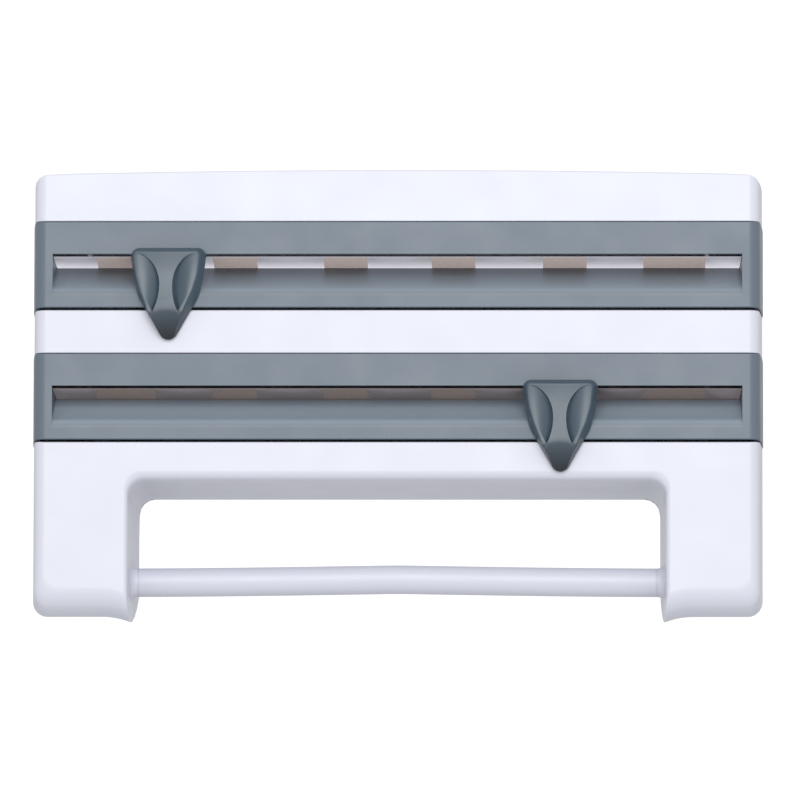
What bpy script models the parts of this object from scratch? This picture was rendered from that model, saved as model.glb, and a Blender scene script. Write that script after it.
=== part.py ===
"""Wall-mounted kitchen roll dispenser: two film drawers with sliding cutters, a shelf and a towel rod.

Units are metres.  +X is the width, -Y the front, +Z up.  The origin lies on the flat back face,
midway between the two keyhole hangers.  Inside the functions, places are given as
(x, depth, height): depth runs back from the front face and height up from the legs' lowest level.
"""
import math

import bmesh
import bpy
from mathutils import Vector

MM = 0.001

# Driving dimensions -----------------------------------------------------------------------------
WIDTH = 387.0 * MM              # white housing, side to side
DEPTH = 95 * MM                 # front face to wall
HANG_HEIGHT = 152 * MM          # keyhole line above the legs' lowest level
WALL = 2.5 * MM                 # moulding thickness
GAP = 0.3 * MM                  # clearance between pieces that touch

CORNER_RADIUS = 6 * MM          # vertical corners, in plan
FLARE = 2.5 * MM                # how much narrower each side is at the front
FLARE_DEPTH = 50 * MM           # depth at which the sides become parallel
WRAP_DEPTH = 41.5 * MM          # how far the bands reach back along the sides

BEAM_BOTTOM = 73.5 * MM         # underside over the towel bay
BEAM_TOP = 93.5 * MM            # deck under the lower drawer
DRAWER_BOTTOM = 94.8 * MM       # lower drawer's lower edge
DRAWER_PITCH = 70.2 * MM        # lower drawer to upper drawer
DRAWER_HEIGHT = 45.7 * MM
SHELF_BOTTOM = 211.0 * MM
RAIL_TOP = 236.1 * MM           # shelf rail, at the sides and back
RAIL_ARCH = 2.4 * MM            # how much the front rail rises in the middle
RAIL_SIDE_DROP = 3.2 * MM       # how much lower the rail is along the sides and back
RAIL_DROP_REACH = 8 * MM        # width over which it drops at each front corner

LEG_INNER_X = 142.1 * MM        # inner face of each leg at the front
LEG_DRAFT = 1.7                 # degrees: the legs' inner faces close towards the wall
BAY_CORNER_RADIUS = 8.5 * MM
LEG_BOTTOM = 2.9 * MM           # lowest level of a leg's broad underside
LEG_TIP_DROP = 2.9 * MM         # how much lower the inner edge hangs
LEG_TIP_REACH = 15 * MM         # width over which it drops
LEG_BOTTOM_RADIUS = 7.8 * MM    # outer lower corner, in elevation
LEG_NOSE_DEPTH = 16 * MM        # the front face curves under over this depth
LEG_NOSE_HEIGHT = 14 * MM
LEG_HEEL_RISE = 3.5             # 1/m: rise of the underside per squared depth behind the nose

SLOT_HALF = 182.3 * MM          # half length of a drawer's cutting groove
SLOT_DRAFT = 2.2                # degrees: the groove's ends close towards its bottom
GROOVE_DEPTH = 24 * MM
RAMP_FOOT = 9.6 * MM            # heights above the drawer's lower edge
RAMP_TOP = 24.15 * MM
LIP_HEIGHT = 28.6 * MM
DRAWER_PROUD = 0.4 * MM         # drawer fronts stand proud of the white housing
TRAY_HALF = 165 * MM
TRAY_BACK = 88 * MM             # depth of the tray's back
TRAY_WALL = 2 * MM
TRAY_SCREW_PLACES = [(x * MM, 14 * MM) for x in (-140, -48, 48, 140)]   # (x, depth)
TRAY_BOSS_TOP = 15.2 * MM       # inside the groove's sloping floor
RUNNER_X = 152 * MM
RUNNER_WIDTH = 10 * MM
RUNNER_FRONT = 30 * MM          # depth at which the runners start
RUNNER_TOP = 2.4 * MM           # above the deck

GUIDE_FRONT = 0.6 * MM          # film guide, depths of its front and back edges
GUIDE_BACK = 27 * MM
GUIDE_HEIGHT = 26.6 * MM        # its underside at the front, above the drawer's lower edge
GUIDE_SLOPE = 0.092             # fall of the guide towards the back
GUIDE_THICKNESS = 0.6 * MM
PAD_FRONT = 1.3 * MM            # depth of the pads' windows, front and back
PAD_BACK = 26.0 * MM
PADS = [(x * MM, half * MM) for x, half in ((-143.5, 15.8), (-86.0, 11.7), (-27.5, 11.7),
                                            (29.5, 11.7), (88.5, 11.7), (146.5, 16.6))]

UPPER_CUTTER_X = -120.6 * MM
LOWER_CUTTER_X = 86.3 * MM
GRIP_TOP = 31.4 * MM            # above the drawer's lower edge
GRIP_HEIGHT = 49 * MM
GRIP_BACK = -0.9 * MM           # depth of the grip's back face
GRIP_THICKNESS = 9 * MM
CARRIAGE_HALF = 12 * MM
SCREW_HEIGHT = 19.6 * MM        # grip's screw, above the drawer's lower edge

ROD_DEPTH = 34 * MM
ROD_HEIGHT = 22.3 * MM
ROD_RADIUS = 7.6 * MM
PIN_RADIUS = 4.0 * MM
SOCKET_LENGTH = 3.0 * MM
ROD_BORE = 6.0 * MM             # radius of the tube's bore
PLUNGER_INNER = 20 * MM         # length of the plunger inside the tube
SEAT_DEPTH = 48 * MM            # spring seat, measured from the tube's left end

BACK_PANEL_THICKNESS = 2.7 * MM
HOUSING_BACK = DEPTH - BACK_PANEL_THICKNESS - GAP
KEYHOLE_X = 140 * MM
KEYHOLE_RADIUS = 5 * MM
KEYHOLE_SLOT_RADIUS = 2.4 * MM
KEYHOLE_RISE = 11 * MM
BOSS_PLACES = [(-166 * MM, 42 * MM), (-110 * MM, 84 * MM), (166 * MM, 42 * MM), (110 * MM, 84 * MM)]
DECK_BACK = HOUSING_BACK - 8 * MM   # the middle deck stops short to clear the wall screws' heads

COLOURS = {
    "white": ((0.86, 0.87, 0.90), 0.35, 0.0),
    "inner_white": ((0.80, 0.81, 0.84), 0.5, 0.0),
    "grey": ((0.25, 0.29, 0.33), 0.42, 0.0),
    "dark_grey": ((0.14, 0.17, 0.20), 0.38, 0.0),
    "guide_light": ((0.50, 0.49, 0.58), 0.45, 0.0),
    "guide_dark": ((0.13, 0.12, 0.14), 0.5, 0.0),
    "pad_light": ((0.31, 0.27, 0.26), 0.8, 0.0),
    "pad_dark": ((0.14, 0.12, 0.12), 0.8, 0.0),
    "steel": ((0.62, 0.63, 0.65), 0.25, 1.0),
}


# Scene and mesh helpers ---------------------------------------------------------------------------
def clear_scene():
    for old in list(bpy.data.objects):
        bpy.data.objects.remove(old, do_unlink=True)


def material(name):
    """One Principled material per colour name."""
    found = bpy.data.materials.get(name)
    if found:
        return found
    colour, roughness, metallic = COLOURS[name]
    made = bpy.data.materials.new(name)
    made.use_nodes = True
    shader = made.node_tree.nodes["Principled BSDF"]
    shader.inputs["Base Color"].default_value = (*colour, 1.0)
    shader.inputs["Roughness"].default_value = roughness
    shader.inputs["Metallic"].default_value = metallic
    return made


def place(x, depth, height):
    """World position of a point given by its width, depth and height."""
    return Vector((x, depth - DEPTH, height - HANG_HEIGHT))


def finish(bm, name, colour):
    """Turn a bmesh into a named object with outward faces."""
    bmesh.ops.remove_doubles(bm, verts=bm.verts, dist=1e-6)
    bmesh.ops.dissolve_degenerate(bm, edges=bm.edges, dist=1e-7)
    bmesh.ops.recalc_face_normals(bm, faces=bm.faces)
    mesh = bpy.data.meshes.new(name)
    bm.to_mesh(mesh)
    bm.free()
    made = bpy.data.objects.new(name, mesh)
    bpy.context.collection.objects.link(made)
    mesh.materials.append(material(colour))
    mesh.shade_smooth()
    mesh.set_sharp_from_angle(angle=math.radians(35))
    return made


def combine(target, others, operation):
    """Boolean the other objects into target and drop them."""
    for other in others:
        step = target.modifiers.new("step", "BOOLEAN")
        step.operation = operation
        step.solver = "EXACT"
        step.object = other
    bpy.context.view_layer.update()
    shaped = target.evaluated_get(bpy.context.evaluated_depsgraph_get())
    mesh = bpy.data.meshes.new_from_object(shaped)
    mesh.name = target.name
    target.modifiers.clear()
    target.data = mesh
    for other in others:
        bpy.data.objects.remove(other, do_unlink=True)
    return target


def loft(loops, name, colour, mirrored_end=False):
    """Skin equal-length loops of points and cap both ends.

    A mirrored end isn't flat, so its cap is strips across the loop, which reads the same both ways.
    """
    bm = bmesh.new()
    rings = [[bm.verts.new(p) for p in loop] for loop in loops]
    bm.faces.new(rings[0])
    last = rings[-1]
    if mirrored_end:
        for i in range(len(last) // 2 - 1):
            bm.faces.new((last[i], last[i + 1], last[-2 - i], last[-1 - i]))
    else:
        bm.faces.new(last)
    for one, two in zip(rings, rings[1:]):
        for i in range(len(one)):
            j = (i + 1) % len(one)
            bm.faces.new((one[i], one[j], two[j], two[i]))
    return finish(bm, name, colour)


def prism_plan(outline, low, high, name, colour):
    """Extrude an (x, depth) outline upwards."""
    return loft([[place(x, d, low) for x, d in outline], [place(x, d, high) for x, d in outline]],
                name, colour)


def prism_side(section, left, right, name, colour):
    """Extrude a (depth, height) section along X; left and right may be functions of depth."""
    left_of = left if callable(left) else lambda depth: left
    right_of = right if callable(right) else lambda depth: right
    return loft([[place(left_of(d), d, h) for d, h in section],
                 [place(right_of(d), d, h) for d, h in section]], name, colour)


def prism_front(outline, near, far, name, colour):
    """Extrude an (x, height) outline backwards from depth near to depth far."""
    return loft([[place(x, near, h) for x, h in outline], [place(x, far, h) for x, h in outline]],
                name, colour)


def box(x0, x1, d0, d1, h0, h1, name, colour):
    return prism_plan([(x0, d0), (x1, d0), (x1, d1), (x0, d1)], h0, h1, name, colour)


def turned(profile, centre, axis, name, colour, sides=20):
    """Turn (distance along axis, radius) points about an axis through centre."""
    loops = []
    for along, radius in profile:
        ring = []
        for k in range(sides):
            turn = 2 * math.pi * k / sides
            a, b = radius * math.cos(turn), radius * math.sin(turn)
            offset = {"x": (along, a, b), "depth": (a, along, b), "height": (a, b, along)}[axis]
            ring.append(place(*centre) + Vector(offset))
        loops.append(ring)
    return loft(loops, name, colour)


def turned_tube(profile, centre, axis, name, colour, sides=20):
    """Turn a closed ring section, given as (distance along axis, radius) points."""
    made = turned(profile, centre, axis, name, colour, sides)
    bm = bmesh.new()
    bm.from_mesh(made.data)
    caps = [f for f in bm.faces if len(f.verts) == sides]
    bmesh.ops.delete(bm, geom=caps, context="FACES_ONLY")
    edges = [e for e in bm.edges if e.is_boundary]
    bmesh.ops.bridge_loops(bm, edges=edges)
    bpy.data.objects.remove(made, do_unlink=True)
    return finish(bm, name, colour)


def arc(centre_x, centre_y, radius, start, stop, steps):
    """Points on an arc, from start to stop in degrees."""
    points = []
    for k in range(steps + 1):
        turn = math.radians(start + (stop - start) * k / steps)
        points.append((centre_x + radius * math.cos(turn), centre_y + radius * math.sin(turn)))
    return points


def rounded_polygon(corners, steps=4):
    """Round each (x, y, radius) corner of a closed polygon with an arc."""
    points = []
    count = len(corners)
    for i, (x, y, radius) in enumerate(corners):
        here = Vector((x, y))
        before = (Vector(corners[i - 1][:2]) - here).normalized()
        after = (Vector(corners[(i + 1) % count][:2]) - here).normalized()
        half = math.acos(max(-1.0, min(1.0, before.dot(after)))) / 2
        if radius <= 0:
            points.append((x, y))
            continue
        centre = here + (before + after).normalized() * (radius / math.sin(half))
        reach = radius / math.tan(half)
        start, stop = here + before * reach - centre, here + after * reach - centre
        sweep = math.pi - 2 * half
        sign = 1 if start.x * stop.y - start.y * stop.x > 0 else -1
        for k in range(steps + 1):
            turn = sign * sweep * k / steps
            points.append((centre.x + start.x * math.cos(turn) - start.y * math.sin(turn),
                           centre.y + start.x * math.sin(turn) + start.y * math.cos(turn)))
    return points


# Plan shape shared by every band -----------------------------------------------------------------
def half_width(depth):
    """Half width of the white housing: the sides flare gently from the front to FLARE_DEPTH."""
    left = max(0.0, 1 - depth / FLARE_DEPTH)
    return WIDTH / 2 - FLARE * left * left


def side_path(inset, end_depth):
    """(x, depth) points of the right side, from the front corner back; inset moves them inwards."""
    radius = CORNER_RADIUS - inset
    centre_x = half_width(CORNER_RADIUS) - CORNER_RADIUS
    path = arc(centre_x, CORNER_RADIUS, radius, -90, 0, 6)
    for part in (0.35, 0.7, 1.0):
        depth = CORNER_RADIUS + (end_depth - CORNER_RADIUS) * part
        path.append((half_width(depth) - inset, depth))
    return path


def wrap_outline(proud, end_depth):
    """Closed C-shaped plan outline of a band that wraps round both front corners."""
    outer = side_path(-proud, end_depth)
    inner = side_path(WALL, end_depth)
    right = inner[::-1]
    left_outer = [(-x, d) for x, d in outer]
    left_inner = [(-x, d) for x, d in inner]
    return outer + right + left_inner + left_outer[::-1]


def recess(depth, start, radius):
    """How far a rounded edge has drawn in at this depth behind its front plane."""
    if depth >= start + radius or radius <= 0:
        return 0.0
    rest = start + radius - depth
    return radius - math.sqrt(max(0.0, radius * radius - rest * rest))


# Root: the white housing -------------------------------------------------------------------------
def leg_inner(depth):
    return LEG_INNER_X - depth * math.tan(math.radians(LEG_DRAFT))


def leg_underside(x, depth, inset):
    """Height of a leg's underside: a nose at the front, a rising heel and a low inner edge."""
    behind = max(0.0, depth - LEG_NOSE_DEPTH)
    nose = recess(depth, inset, LEG_NOSE_DEPTH - inset) * LEG_NOSE_HEIGHT / LEG_NOSE_DEPTH
    near = max(0.0, 1 - (x - leg_inner(depth)) / LEG_TIP_REACH)
    return LEG_BOTTOM + inset + LEG_HEEL_RISE * behind * behind + nose - LEG_TIP_DROP * near * near


def housing_outline(depth, inset, ears):
    """(x, height) outline at one depth; inset shrinks it to the inner skin, ears raise the sides."""
    outer_x = half_width(max(depth, CORNER_RADIUS)) - inset
    outer_x -= recess(depth, inset, CORNER_RADIUS - inset)
    top = BEAM_TOP - inset
    if inset == 0:
        top -= recess(depth, 0, 1.0 * MM)
    edge = recess(depth, 0, 2.5 * MM) if inset == 0 else 0.0
    inner_x = leg_inner(depth) + inset + edge
    roof = BEAM_BOTTOM + inset + (recess(depth, 0, 5 * MM) if inset == 0 else 0.0)
    ear_x = outer_x - WALL + 0.1 * MM if inset == 0 else outer_x
    ear_top = SHELF_BOTTOM - GAP if ears else top
    half = [(ear_x, top), (ear_x, ear_top), (outer_x, ear_top), (outer_x, top)]
    radius = LEG_BOTTOM_RADIUS - inset
    for across, up in arc(0, 0, radius, 0, -90, 4):
        x = outer_x - radius + across
        half.append((x, leg_underside(x, depth, inset) + radius + up))
    for part in (0.5, 0.25, 0.1, 0.0):
        x = inner_x + LEG_TIP_REACH * part * 2
        half.append((x, leg_underside(x, depth, inset)))
    radius = BAY_CORNER_RADIUS + inset
    half += [(x, h) for x, h in arc(inner_x - radius, roof - radius, radius, 0, 90, 4)]
    return half + [(-x, h) for x, h in half[::-1]]


def main_housing():
    """Legs, beam, underside and side walls: one hollow moulding, open at the back."""
    outer_depths = [0, 0.35 * MM, 1.0 * MM, 2.5 * MM, 4.5 * MM, 8 * MM, 12 * MM, LEG_NOSE_DEPTH,
                    28 * MM, WRAP_DEPTH + GAP]
    loops = [(d, 0.0, False) for d in outer_depths]
    loops += [(WRAP_DEPTH + GAP, 0.0, True), (60 * MM, 0.0, True), (76 * MM, 0.0, True),
              (HOUSING_BACK, 0.0, True)]
    inner_depths = [HOUSING_BACK, 76 * MM, 60 * MM, 41 * MM, 28 * MM, LEG_NOSE_DEPTH, 12 * MM,
                    8 * MM, 4.5 * MM, WALL]
    loops += [(d, WALL, False) for d in inner_depths]
    rings = [[place(x, d, h) for x, h in housing_outline(d, inset, ears)]
             for d, inset, ears in loops]
    shell = loft(rings, "main_housing", "white")
    bosses, pilots = [], []
    for x, height in BOSS_PLACES:
        bosses.append(turned([(WALL / 2, 4 * MM), (HOUSING_BACK, 4 * MM)], (x, 0, height),
                             "depth", "boss", "white", 12))
        pilots.append(turned([(HOUSING_BACK - 14 * MM, 1.5 * MM), (DEPTH, 1.5 * MM)],
                             (x, 0, height), "depth", "pilot", "white", 10))
    combine(shell, bosses, "UNION")
    return combine(shell, pilots, "DIFFERENCE")


def middle_deck():
    """White band between the drawers, with the deck that carries the upper drawer."""
    low = DRAWER_BOTTOM + DRAWER_HEIGHT + GAP
    high = DRAWER_BOTTOM + DRAWER_PITCH - (DRAWER_BOTTOM - BEAM_TOP)
    band = prism_plan(wrap_outline(0, WRAP_DEPTH), low, high, "middle_deck", "white")
    half = WIDTH / 2 - WALL - GAP + 0.1 * MM
    front_half = half_width(CORNER_RADIUS) - WALL / 2
    outline = [(front_half - 5 * MM, WALL / 2), (front_half, 9 * MM), (half, WRAP_DEPTH),
               (half, DECK_BACK)]
    outline += [(-x, d) for x, d in outline[::-1]]
    deck = prism_plan(outline, high - WALL, high - 0.02 * MM, "deck", "white")
    return combine(band, [deck], "UNION")


def rail_height(x, depth, inset):
    """Top of the shelf's rail: arched at the front, lower along the sides and back."""
    if depth >= CORNER_RADIUS:
        return RAIL_TOP - RAIL_SIDE_DROP
    share = min(1.0, abs(x) / (WIDTH / 2))
    start = half_width(0) - RAIL_DROP_REACH
    turn = min(1.0, max(0.0, abs(x) + inset - start) / RAIL_DROP_REACH)
    drop = RAIL_SIDE_DROP * (1 - math.sqrt(1 - turn * turn))
    return RAIL_TOP + RAIL_ARCH * (1 - share * share) - drop


def shelf_outline(inset):
    """Closed plan outline of the shelf tray, with extra points along the front for the arch."""
    right = side_path(inset, FLARE_DEPTH)
    radius = 4 * MM - inset / 2
    back = DEPTH - inset
    right += arc(WIDTH / 2 - inset - radius, back - radius, radius, 0, 90, 3)
    front = [(right[0][0] * k / 5, inset) for k in range(-4, 5)]
    return [(-x, d) for x, d in right[::-1]] + front + right


def top_shelf():
    """Shelf tray: floor and a low rail all round, arched at the front."""
    def level(inset, height):
        return [place(x, d, height) for x, d in shelf_outline(inset)]

    def rim(inset, drop):
        return [place(x, d, rail_height(x, d, inset) - drop) for x, d in shelf_outline(inset)]

    edge = 0.8 * MM
    return loft([level(0.3 * MM, SHELF_BOTTOM), level(0, SHELF_BOTTOM + 0.3 * MM),
                 rim(0, edge), rim(edge, 0), rim(WALL - edge, 0), rim(WALL, edge),
                 level(WALL, SHELF_BOTTOM + WALL)], "top_shelf", "white")


def back_panel():
    """Flat plate that closes the housing and carries the keyhole hangers."""
    near, far = DEPTH - BACK_PANEL_THICKNESS, DEPTH
    outer = WIDTH / 2
    foot = leg_underside(outer, far, 0) + 2 * MM
    top = SHELF_BOTTOM - GAP
    inner = leg_inner(far)
    right = rounded_polygon([(outer, top, 0), (outer, foot, 7 * MM), (inner, foot, 2 * MM)], 3)
    right += arc(inner - BAY_CORNER_RADIUS, BEAM_BOTTOM - BAY_CORNER_RADIUS, BAY_CORNER_RADIUS,
                 0, 90, 4)
    outline = right + [(-x, h) for x, h in right[::-1]]
    plate = prism_front(outline, near, far, "back_panel", "inner_white")
    cutters = []
    for side in (-1, 1):
        lobe = arc(0, 0, KEYHOLE_RADIUS, 118, 422, 14)
        slot = arc(0, KEYHOLE_RISE, KEYHOLE_SLOT_RADIUS, 0, 180, 6)
        keyhole = [(side * KEYHOLE_X + x, HANG_HEIGHT + h) for x, h in lobe + slot]
        cutters.append(prism_front(keyhole, near - MM, far + MM, "keyhole", "white"))
    for x, height in BOSS_PLACES:
        cutters.append(turned([(-MM, 1.6 * MM), (BACK_PANEL_THICKNESS - 1.6 * MM, 1.6 * MM),
                               (BACK_PANEL_THICKNESS - 1.6 * MM, 3.3 * MM),
                               (BACK_PANEL_THICKNESS + MM, 3.3 * MM)],
                              (x, near, height), "depth", "counterbore", "white", 16))
    return combine(plate, cutters, "DIFFERENCE")


def screw(name, centre, axis, point, length, head_radius, shank_radius, head=1.3 * MM):
    """Pan-head screw whose shank runs from the head towards point (+1 or -1) along the axis."""
    profile = [(-point * head, head_radius * 0.7), (-point * head * 0.6, head_radius),
               (0, head_radius), (0, shank_radius), (point * (length - MM), shank_radius),
               (point * length, shank_radius * 0.4)]
    if point < 0:
        profile = profile[::-1]
    return turned(profile, centre, axis, name, "steel", 8)


def back_panel_screws():
    head_face = DEPTH - 1.6 * MM + GAP
    for number, (x, height) in enumerate(BOSS_PLACES, 1):
        screw(f"back_panel_screw_{number}", (x, head_face, height), "depth", -1, 13 * MM,
              2.9 * MM, 1.2 * MM, 1.0 * MM)


def rod_sockets():
    """Flared cups on the legs' inner faces that hold the towel rod's pins."""
    base = leg_inner(ROD_DEPTH) - 2 * GAP
    for side, name in ((-1, "left_rod_socket"), (1, "right_rod_socket")):
        profile = [(0, PIN_RADIUS + GAP), (0, ROD_RADIUS + 2.2 * MM),
                   (0.7 * MM, ROD_RADIUS + 1.0 * MM), (1.7 * MM, ROD_RADIUS + 0.2 * MM),
                   (SOCKET_LENGTH, ROD_RADIUS), (SOCKET_LENGTH, PIN_RADIUS + GAP)]
        profile = [(-side * along, radius) for along, radius in profile]
        turned_tube(profile, (side * base, ROD_DEPTH, ROD_HEIGHT), "x", name, "white", 24)


def runners(deck, deck_back, level):
    """Pair of low glide strips on a deck, which a drawer's tray slides on."""
    for x, hand in ((-RUNNER_X, "left"), (RUNNER_X, "right")):
        box(x - RUNNER_WIDTH / 2, x + RUNNER_WIDTH / 2, RUNNER_FRONT, deck_back - 2 * MM,
            deck + GAP, deck + RUNNER_TOP, f"{level}_{hand}_runner", "inner_white")


# Drawers -------------------------------------------------------------------------------------------
def groove_end(depth):
    """Half length of the cutting groove at this depth."""
    return SLOT_HALF - max(0.0, depth) * math.tan(math.radians(SLOT_DRAFT))


def drawer_front(bottom, name):
    """Wrapped front with its slot, the sloping groove behind it and the screw bosses below."""
    front = prism_plan(wrap_outline(DRAWER_PROUD, WRAP_DEPTH), bottom, bottom + DRAWER_HEIGHT,
                       name, "grey")
    window = box(-SLOT_HALF, SLOT_HALF, -4 * MM, WALL + MM, bottom + RAMP_FOOT, bottom + LIP_HEIGHT,
                 "window", "grey")
    combine(front, [window], "DIFFERENCE")
    face = -DRAWER_PROUD
    thick = 2.2 * MM
    section = [(face, RAMP_FOOT), (GROOVE_DEPTH, RAMP_TOP), (GROOVE_DEPTH, RAMP_TOP - thick),
               (WALL - 0.5 * MM, RAMP_FOOT - thick), (face, RAMP_FOOT - thick)]
    section = [(d, bottom + h) for d, h in section]
    ramp = prism_side(section, -SLOT_HALF - MM, SLOT_HALF + MM, "ramp", "grey")
    parts = [ramp]
    side_section = [(face + 0.2 * MM, RAMP_FOOT - MM), (GROOVE_DEPTH, RAMP_TOP - MM),
                    (GROOVE_DEPTH, LIP_HEIGHT + 2 * MM), (face + 0.2 * MM, LIP_HEIGHT + 2 * MM)]
    side_section = [(d, bottom + h) for d, h in side_section]
    outer = SLOT_HALF + 2 * MM
    parts.append(prism_side(side_section, groove_end, outer, "end", "grey"))
    parts.append(prism_side(side_section, -outer, lambda d: -groove_end(d), "end", "grey"))
    for x, depth in TRAY_SCREW_PLACES:
        parts.append(turned([(bottom + 4 * MM, 3.4 * MM), (bottom + TRAY_BOSS_TOP, 3.4 * MM)],
                            (x, depth, 0), "height", "boss", "grey", 12))
    combine(front, parts, "UNION")
    pilots = [turned([(bottom + 3 * MM, 1.5 * MM), (bottom + 12.5 * MM, 1.5 * MM)],
                     (x, depth, 0), "height", "pilot", "grey", 10)
              for x, depth in TRAY_SCREW_PLACES]
    return combine(front, pilots, "DIFFERENCE")


def drawer_tray(bottom, name):
    """Open trough for one roll: floor, back and two ends; its floor runs forward to the front."""
    low, floor, high = bottom + 1.5 * MM, bottom + 3.5 * MM, bottom + 36 * MM
    start = WALL + GAP
    tray = box(-TRAY_HALF, TRAY_HALF, start, TRAY_BACK, low, floor, name, "inner_white")
    wall = box(-TRAY_HALF, TRAY_HALF, TRAY_BACK - TRAY_WALL, TRAY_BACK, floor - MM, high, "wall",
               "inner_white")
    section = [(start, low + MM), (TRAY_BACK, low + MM), (TRAY_BACK, high), (28 * MM, high),
               (28 * MM, bottom + 20 * MM), (GROOVE_DEPTH, bottom + 20 * MM),
               (start, bottom + 7 * MM)]
    ends = [prism_side(section, left, left + TRAY_WALL, "end", "inner_white")
            for left in (-TRAY_HALF, TRAY_HALF - TRAY_WALL)]
    combine(tray, [wall] + ends, "UNION")
    holes = [turned([(low - MM, 1.6 * MM), (floor + MM, 1.6 * MM)], (x, depth, 0), "height",
                    "hole", "white", 12) for x, depth in TRAY_SCREW_PLACES]
    return combine(tray, holes, "DIFFERENCE")


def tray_screws(bottom, level):
    """Screws that hold the tray to the front, from below."""
    for number, (x, depth) in enumerate(TRAY_SCREW_PLACES, 1):
        screw(f"{level}_tray_screw_{number}", (x, depth, bottom + 1.5 * MM - GAP), "height", 1,
              10 * MM, 2.8 * MM, 1.2 * MM, 1.2 * MM)


def guide_underside(depth):
    """Height of the film guide's underside above the drawer's lower edge."""
    return GUIDE_HEIGHT - (depth - GUIDE_FRONT) * GUIDE_SLOPE


def guide_slab(bottom, x0, x1, d0, d1, name, colour):
    """Slab of the film guide's own thickness and slope; x0 and x1 may be functions of depth."""
    near, far = bottom + guide_underside(d0), bottom + guide_underside(d1)
    section = [(d0, near), (d1, far), (d1, far + GUIDE_THICKNESS), (d0, near + GUIDE_THICKNESS)]
    return prism_side(section, x0, x1, name, colour)


def film_guide(bottom, name, colour):
    """Thin bar over the groove that the film passes, with a window for each grip pad."""
    guide = guide_slab(bottom, lambda d: -groove_end(d) + GAP, lambda d: groove_end(d) - GAP,
                       GUIDE_FRONT, GUIDE_BACK, name, colour)
    windows = [box(x - half, x + half, PAD_FRONT, PAD_BACK, bottom + 20 * MM,
                   bottom + 30 * MM, "window", colour) for x, half in PADS]
    return combine(guide, windows, "DIFFERENCE")


def grip_pads(bottom, level, colour):
    """Pads set in the film guide's windows."""
    for number, (x, half) in enumerate(PADS, 1):
        guide_slab(bottom, x - half + GAP, x + half - GAP, PAD_FRONT + GAP, PAD_BACK - GAP,
                   f"{level}_grip_pad_{number}", colour)


# Cutters -------------------------------------------------------------------------------------------
def shield(scale_in):
    """Shield outline of a cutter grip as (x, distance below the top), drawn in by scale_in."""
    half = [(20.4, 0, 4.5), (18.6, 15, 40), (15.9, 26, 20)]
    corners = [(x * MM, y * MM, r * MM) for x, y, r in half] + [(0, 54.2 * MM, 5.2 * MM)]
    corners += [(-x * MM, y * MM, r * MM) for x, y, r in half[::-1]]
    points = rounded_polygon(corners, 3)
    middle = GRIP_HEIGHT * 0.42
    shrink_x = 1 - scale_in / (20 * MM)
    shrink_y = 1 - scale_in / (24 * MM)
    return [(x * shrink_x, middle + (y - middle) * shrink_y) for x, y in points]


def cutter_grip(bottom, centre_x, name):
    """Shield-shaped finger grip with a sloping nose and a dent on each side of its ridge."""
    top = bottom + GRIP_TOP
    layers = [(0, 0), (0.45, 0.3), (0.75, 1.1), (0.93, 2.6), (1.0, 4.6)]
    loops = []
    for share, drawn_in in layers:
        ring = []
        for x, below in shield(drawn_in * MM):
            nose = max(0.0, (below - 30 * MM) / (19 * MM))
            thickness = GRIP_THICKNESS * share * (1 - 0.62 * nose * nose)
            ring.append(place(centre_x + x, GRIP_BACK - thickness, top - below))
        loops.append(ring)
    grip = loft(loops, name, "dark_grey", mirrored_end=True)
    face = GRIP_BACK - GRIP_THICKNESS
    dents = []
    for side in (-1, 1):
        rings = []
        for k in range(1, 8):
            lift = math.cos(math.pi * k / 8)
            wide = math.sin(math.pi * k / 8)
            rings.append([place(centre_x + side * 10.2 * MM + 5.6 * MM * wide * math.cos(t),
                                face + 2.4 * MM * wide * math.sin(t),
                                top - 19 * MM + 14 * MM * lift)
                          for t in (2 * math.pi * j / 12 for j in range(12))])
        dents.append(loft(rings, "dent", "dark_grey"))
    pilot = turned([(GRIP_BACK - 5 * MM, 1.6 * MM), (2 * MM, 1.6 * MM)],
                   (centre_x, 0, bottom + SCREW_HEIGHT), "depth", "pilot", "dark_grey", 10)
    return combine(grip, dents + [pilot], "DIFFERENCE")


def cutter_carriage(bottom, centre_x, name):
    """Slide behind the grip: a block in the groove with a hook over the lip's inner edge."""
    def roof(depth):
        return guide_underside(depth) - 0.7 * MM

    def slope(depth):
        return RAMP_FOOT + depth * (RAMP_TOP - RAMP_FOOT) / GROOVE_DEPTH + 0.9 * MM

    gap_low, gap_high = 27.45 * MM, 28.3 * MM
    section = [(-0.6 * MM, 17.2 * MM), (9.0 * MM, 17.2 * MM), (15.0 * MM, slope(15 * MM)),
               (15.0 * MM, roof(15 * MM)), (GUIDE_FRONT - 0.3 * MM, roof(GUIDE_FRONT)),
               (GUIDE_FRONT - 0.3 * MM, gap_low), (4.6 * MM, gap_low), (4.6 * MM, 35 * MM),
               (3.2 * MM, 35 * MM), (3.2 * MM, gap_high), (-0.6 * MM, gap_high)]
    section = [(d, bottom + h) for d, h in section]
    block = prism_side(section, centre_x - CARRIAGE_HALF, centre_x + CARRIAGE_HALF, name, "dark_grey")
    bore = turned([(-3 * MM, 1.6 * MM), (6 * MM, 1.6 * MM), (6 * MM, 3.0 * MM), (20 * MM, 3.0 * MM)],
                  (centre_x, 0, bottom + SCREW_HEIGHT), "depth", "bore", "grey", 14)
    return combine(block, [bore], "DIFFERENCE")


def cutter_blade(bottom, centre_x, name):
    """Double-ended steel blade lying flat under the carriage."""
    outline = [(-10 * MM, 2.5 * MM), (0, -0.5 * MM), (10 * MM, 2.5 * MM), (0, 7 * MM)]
    outline = [(centre_x + x, d) for x, d in outline]
    return prism_plan(outline, bottom + 16.3 * MM, bottom + 16.9 * MM, name, "steel")


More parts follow.
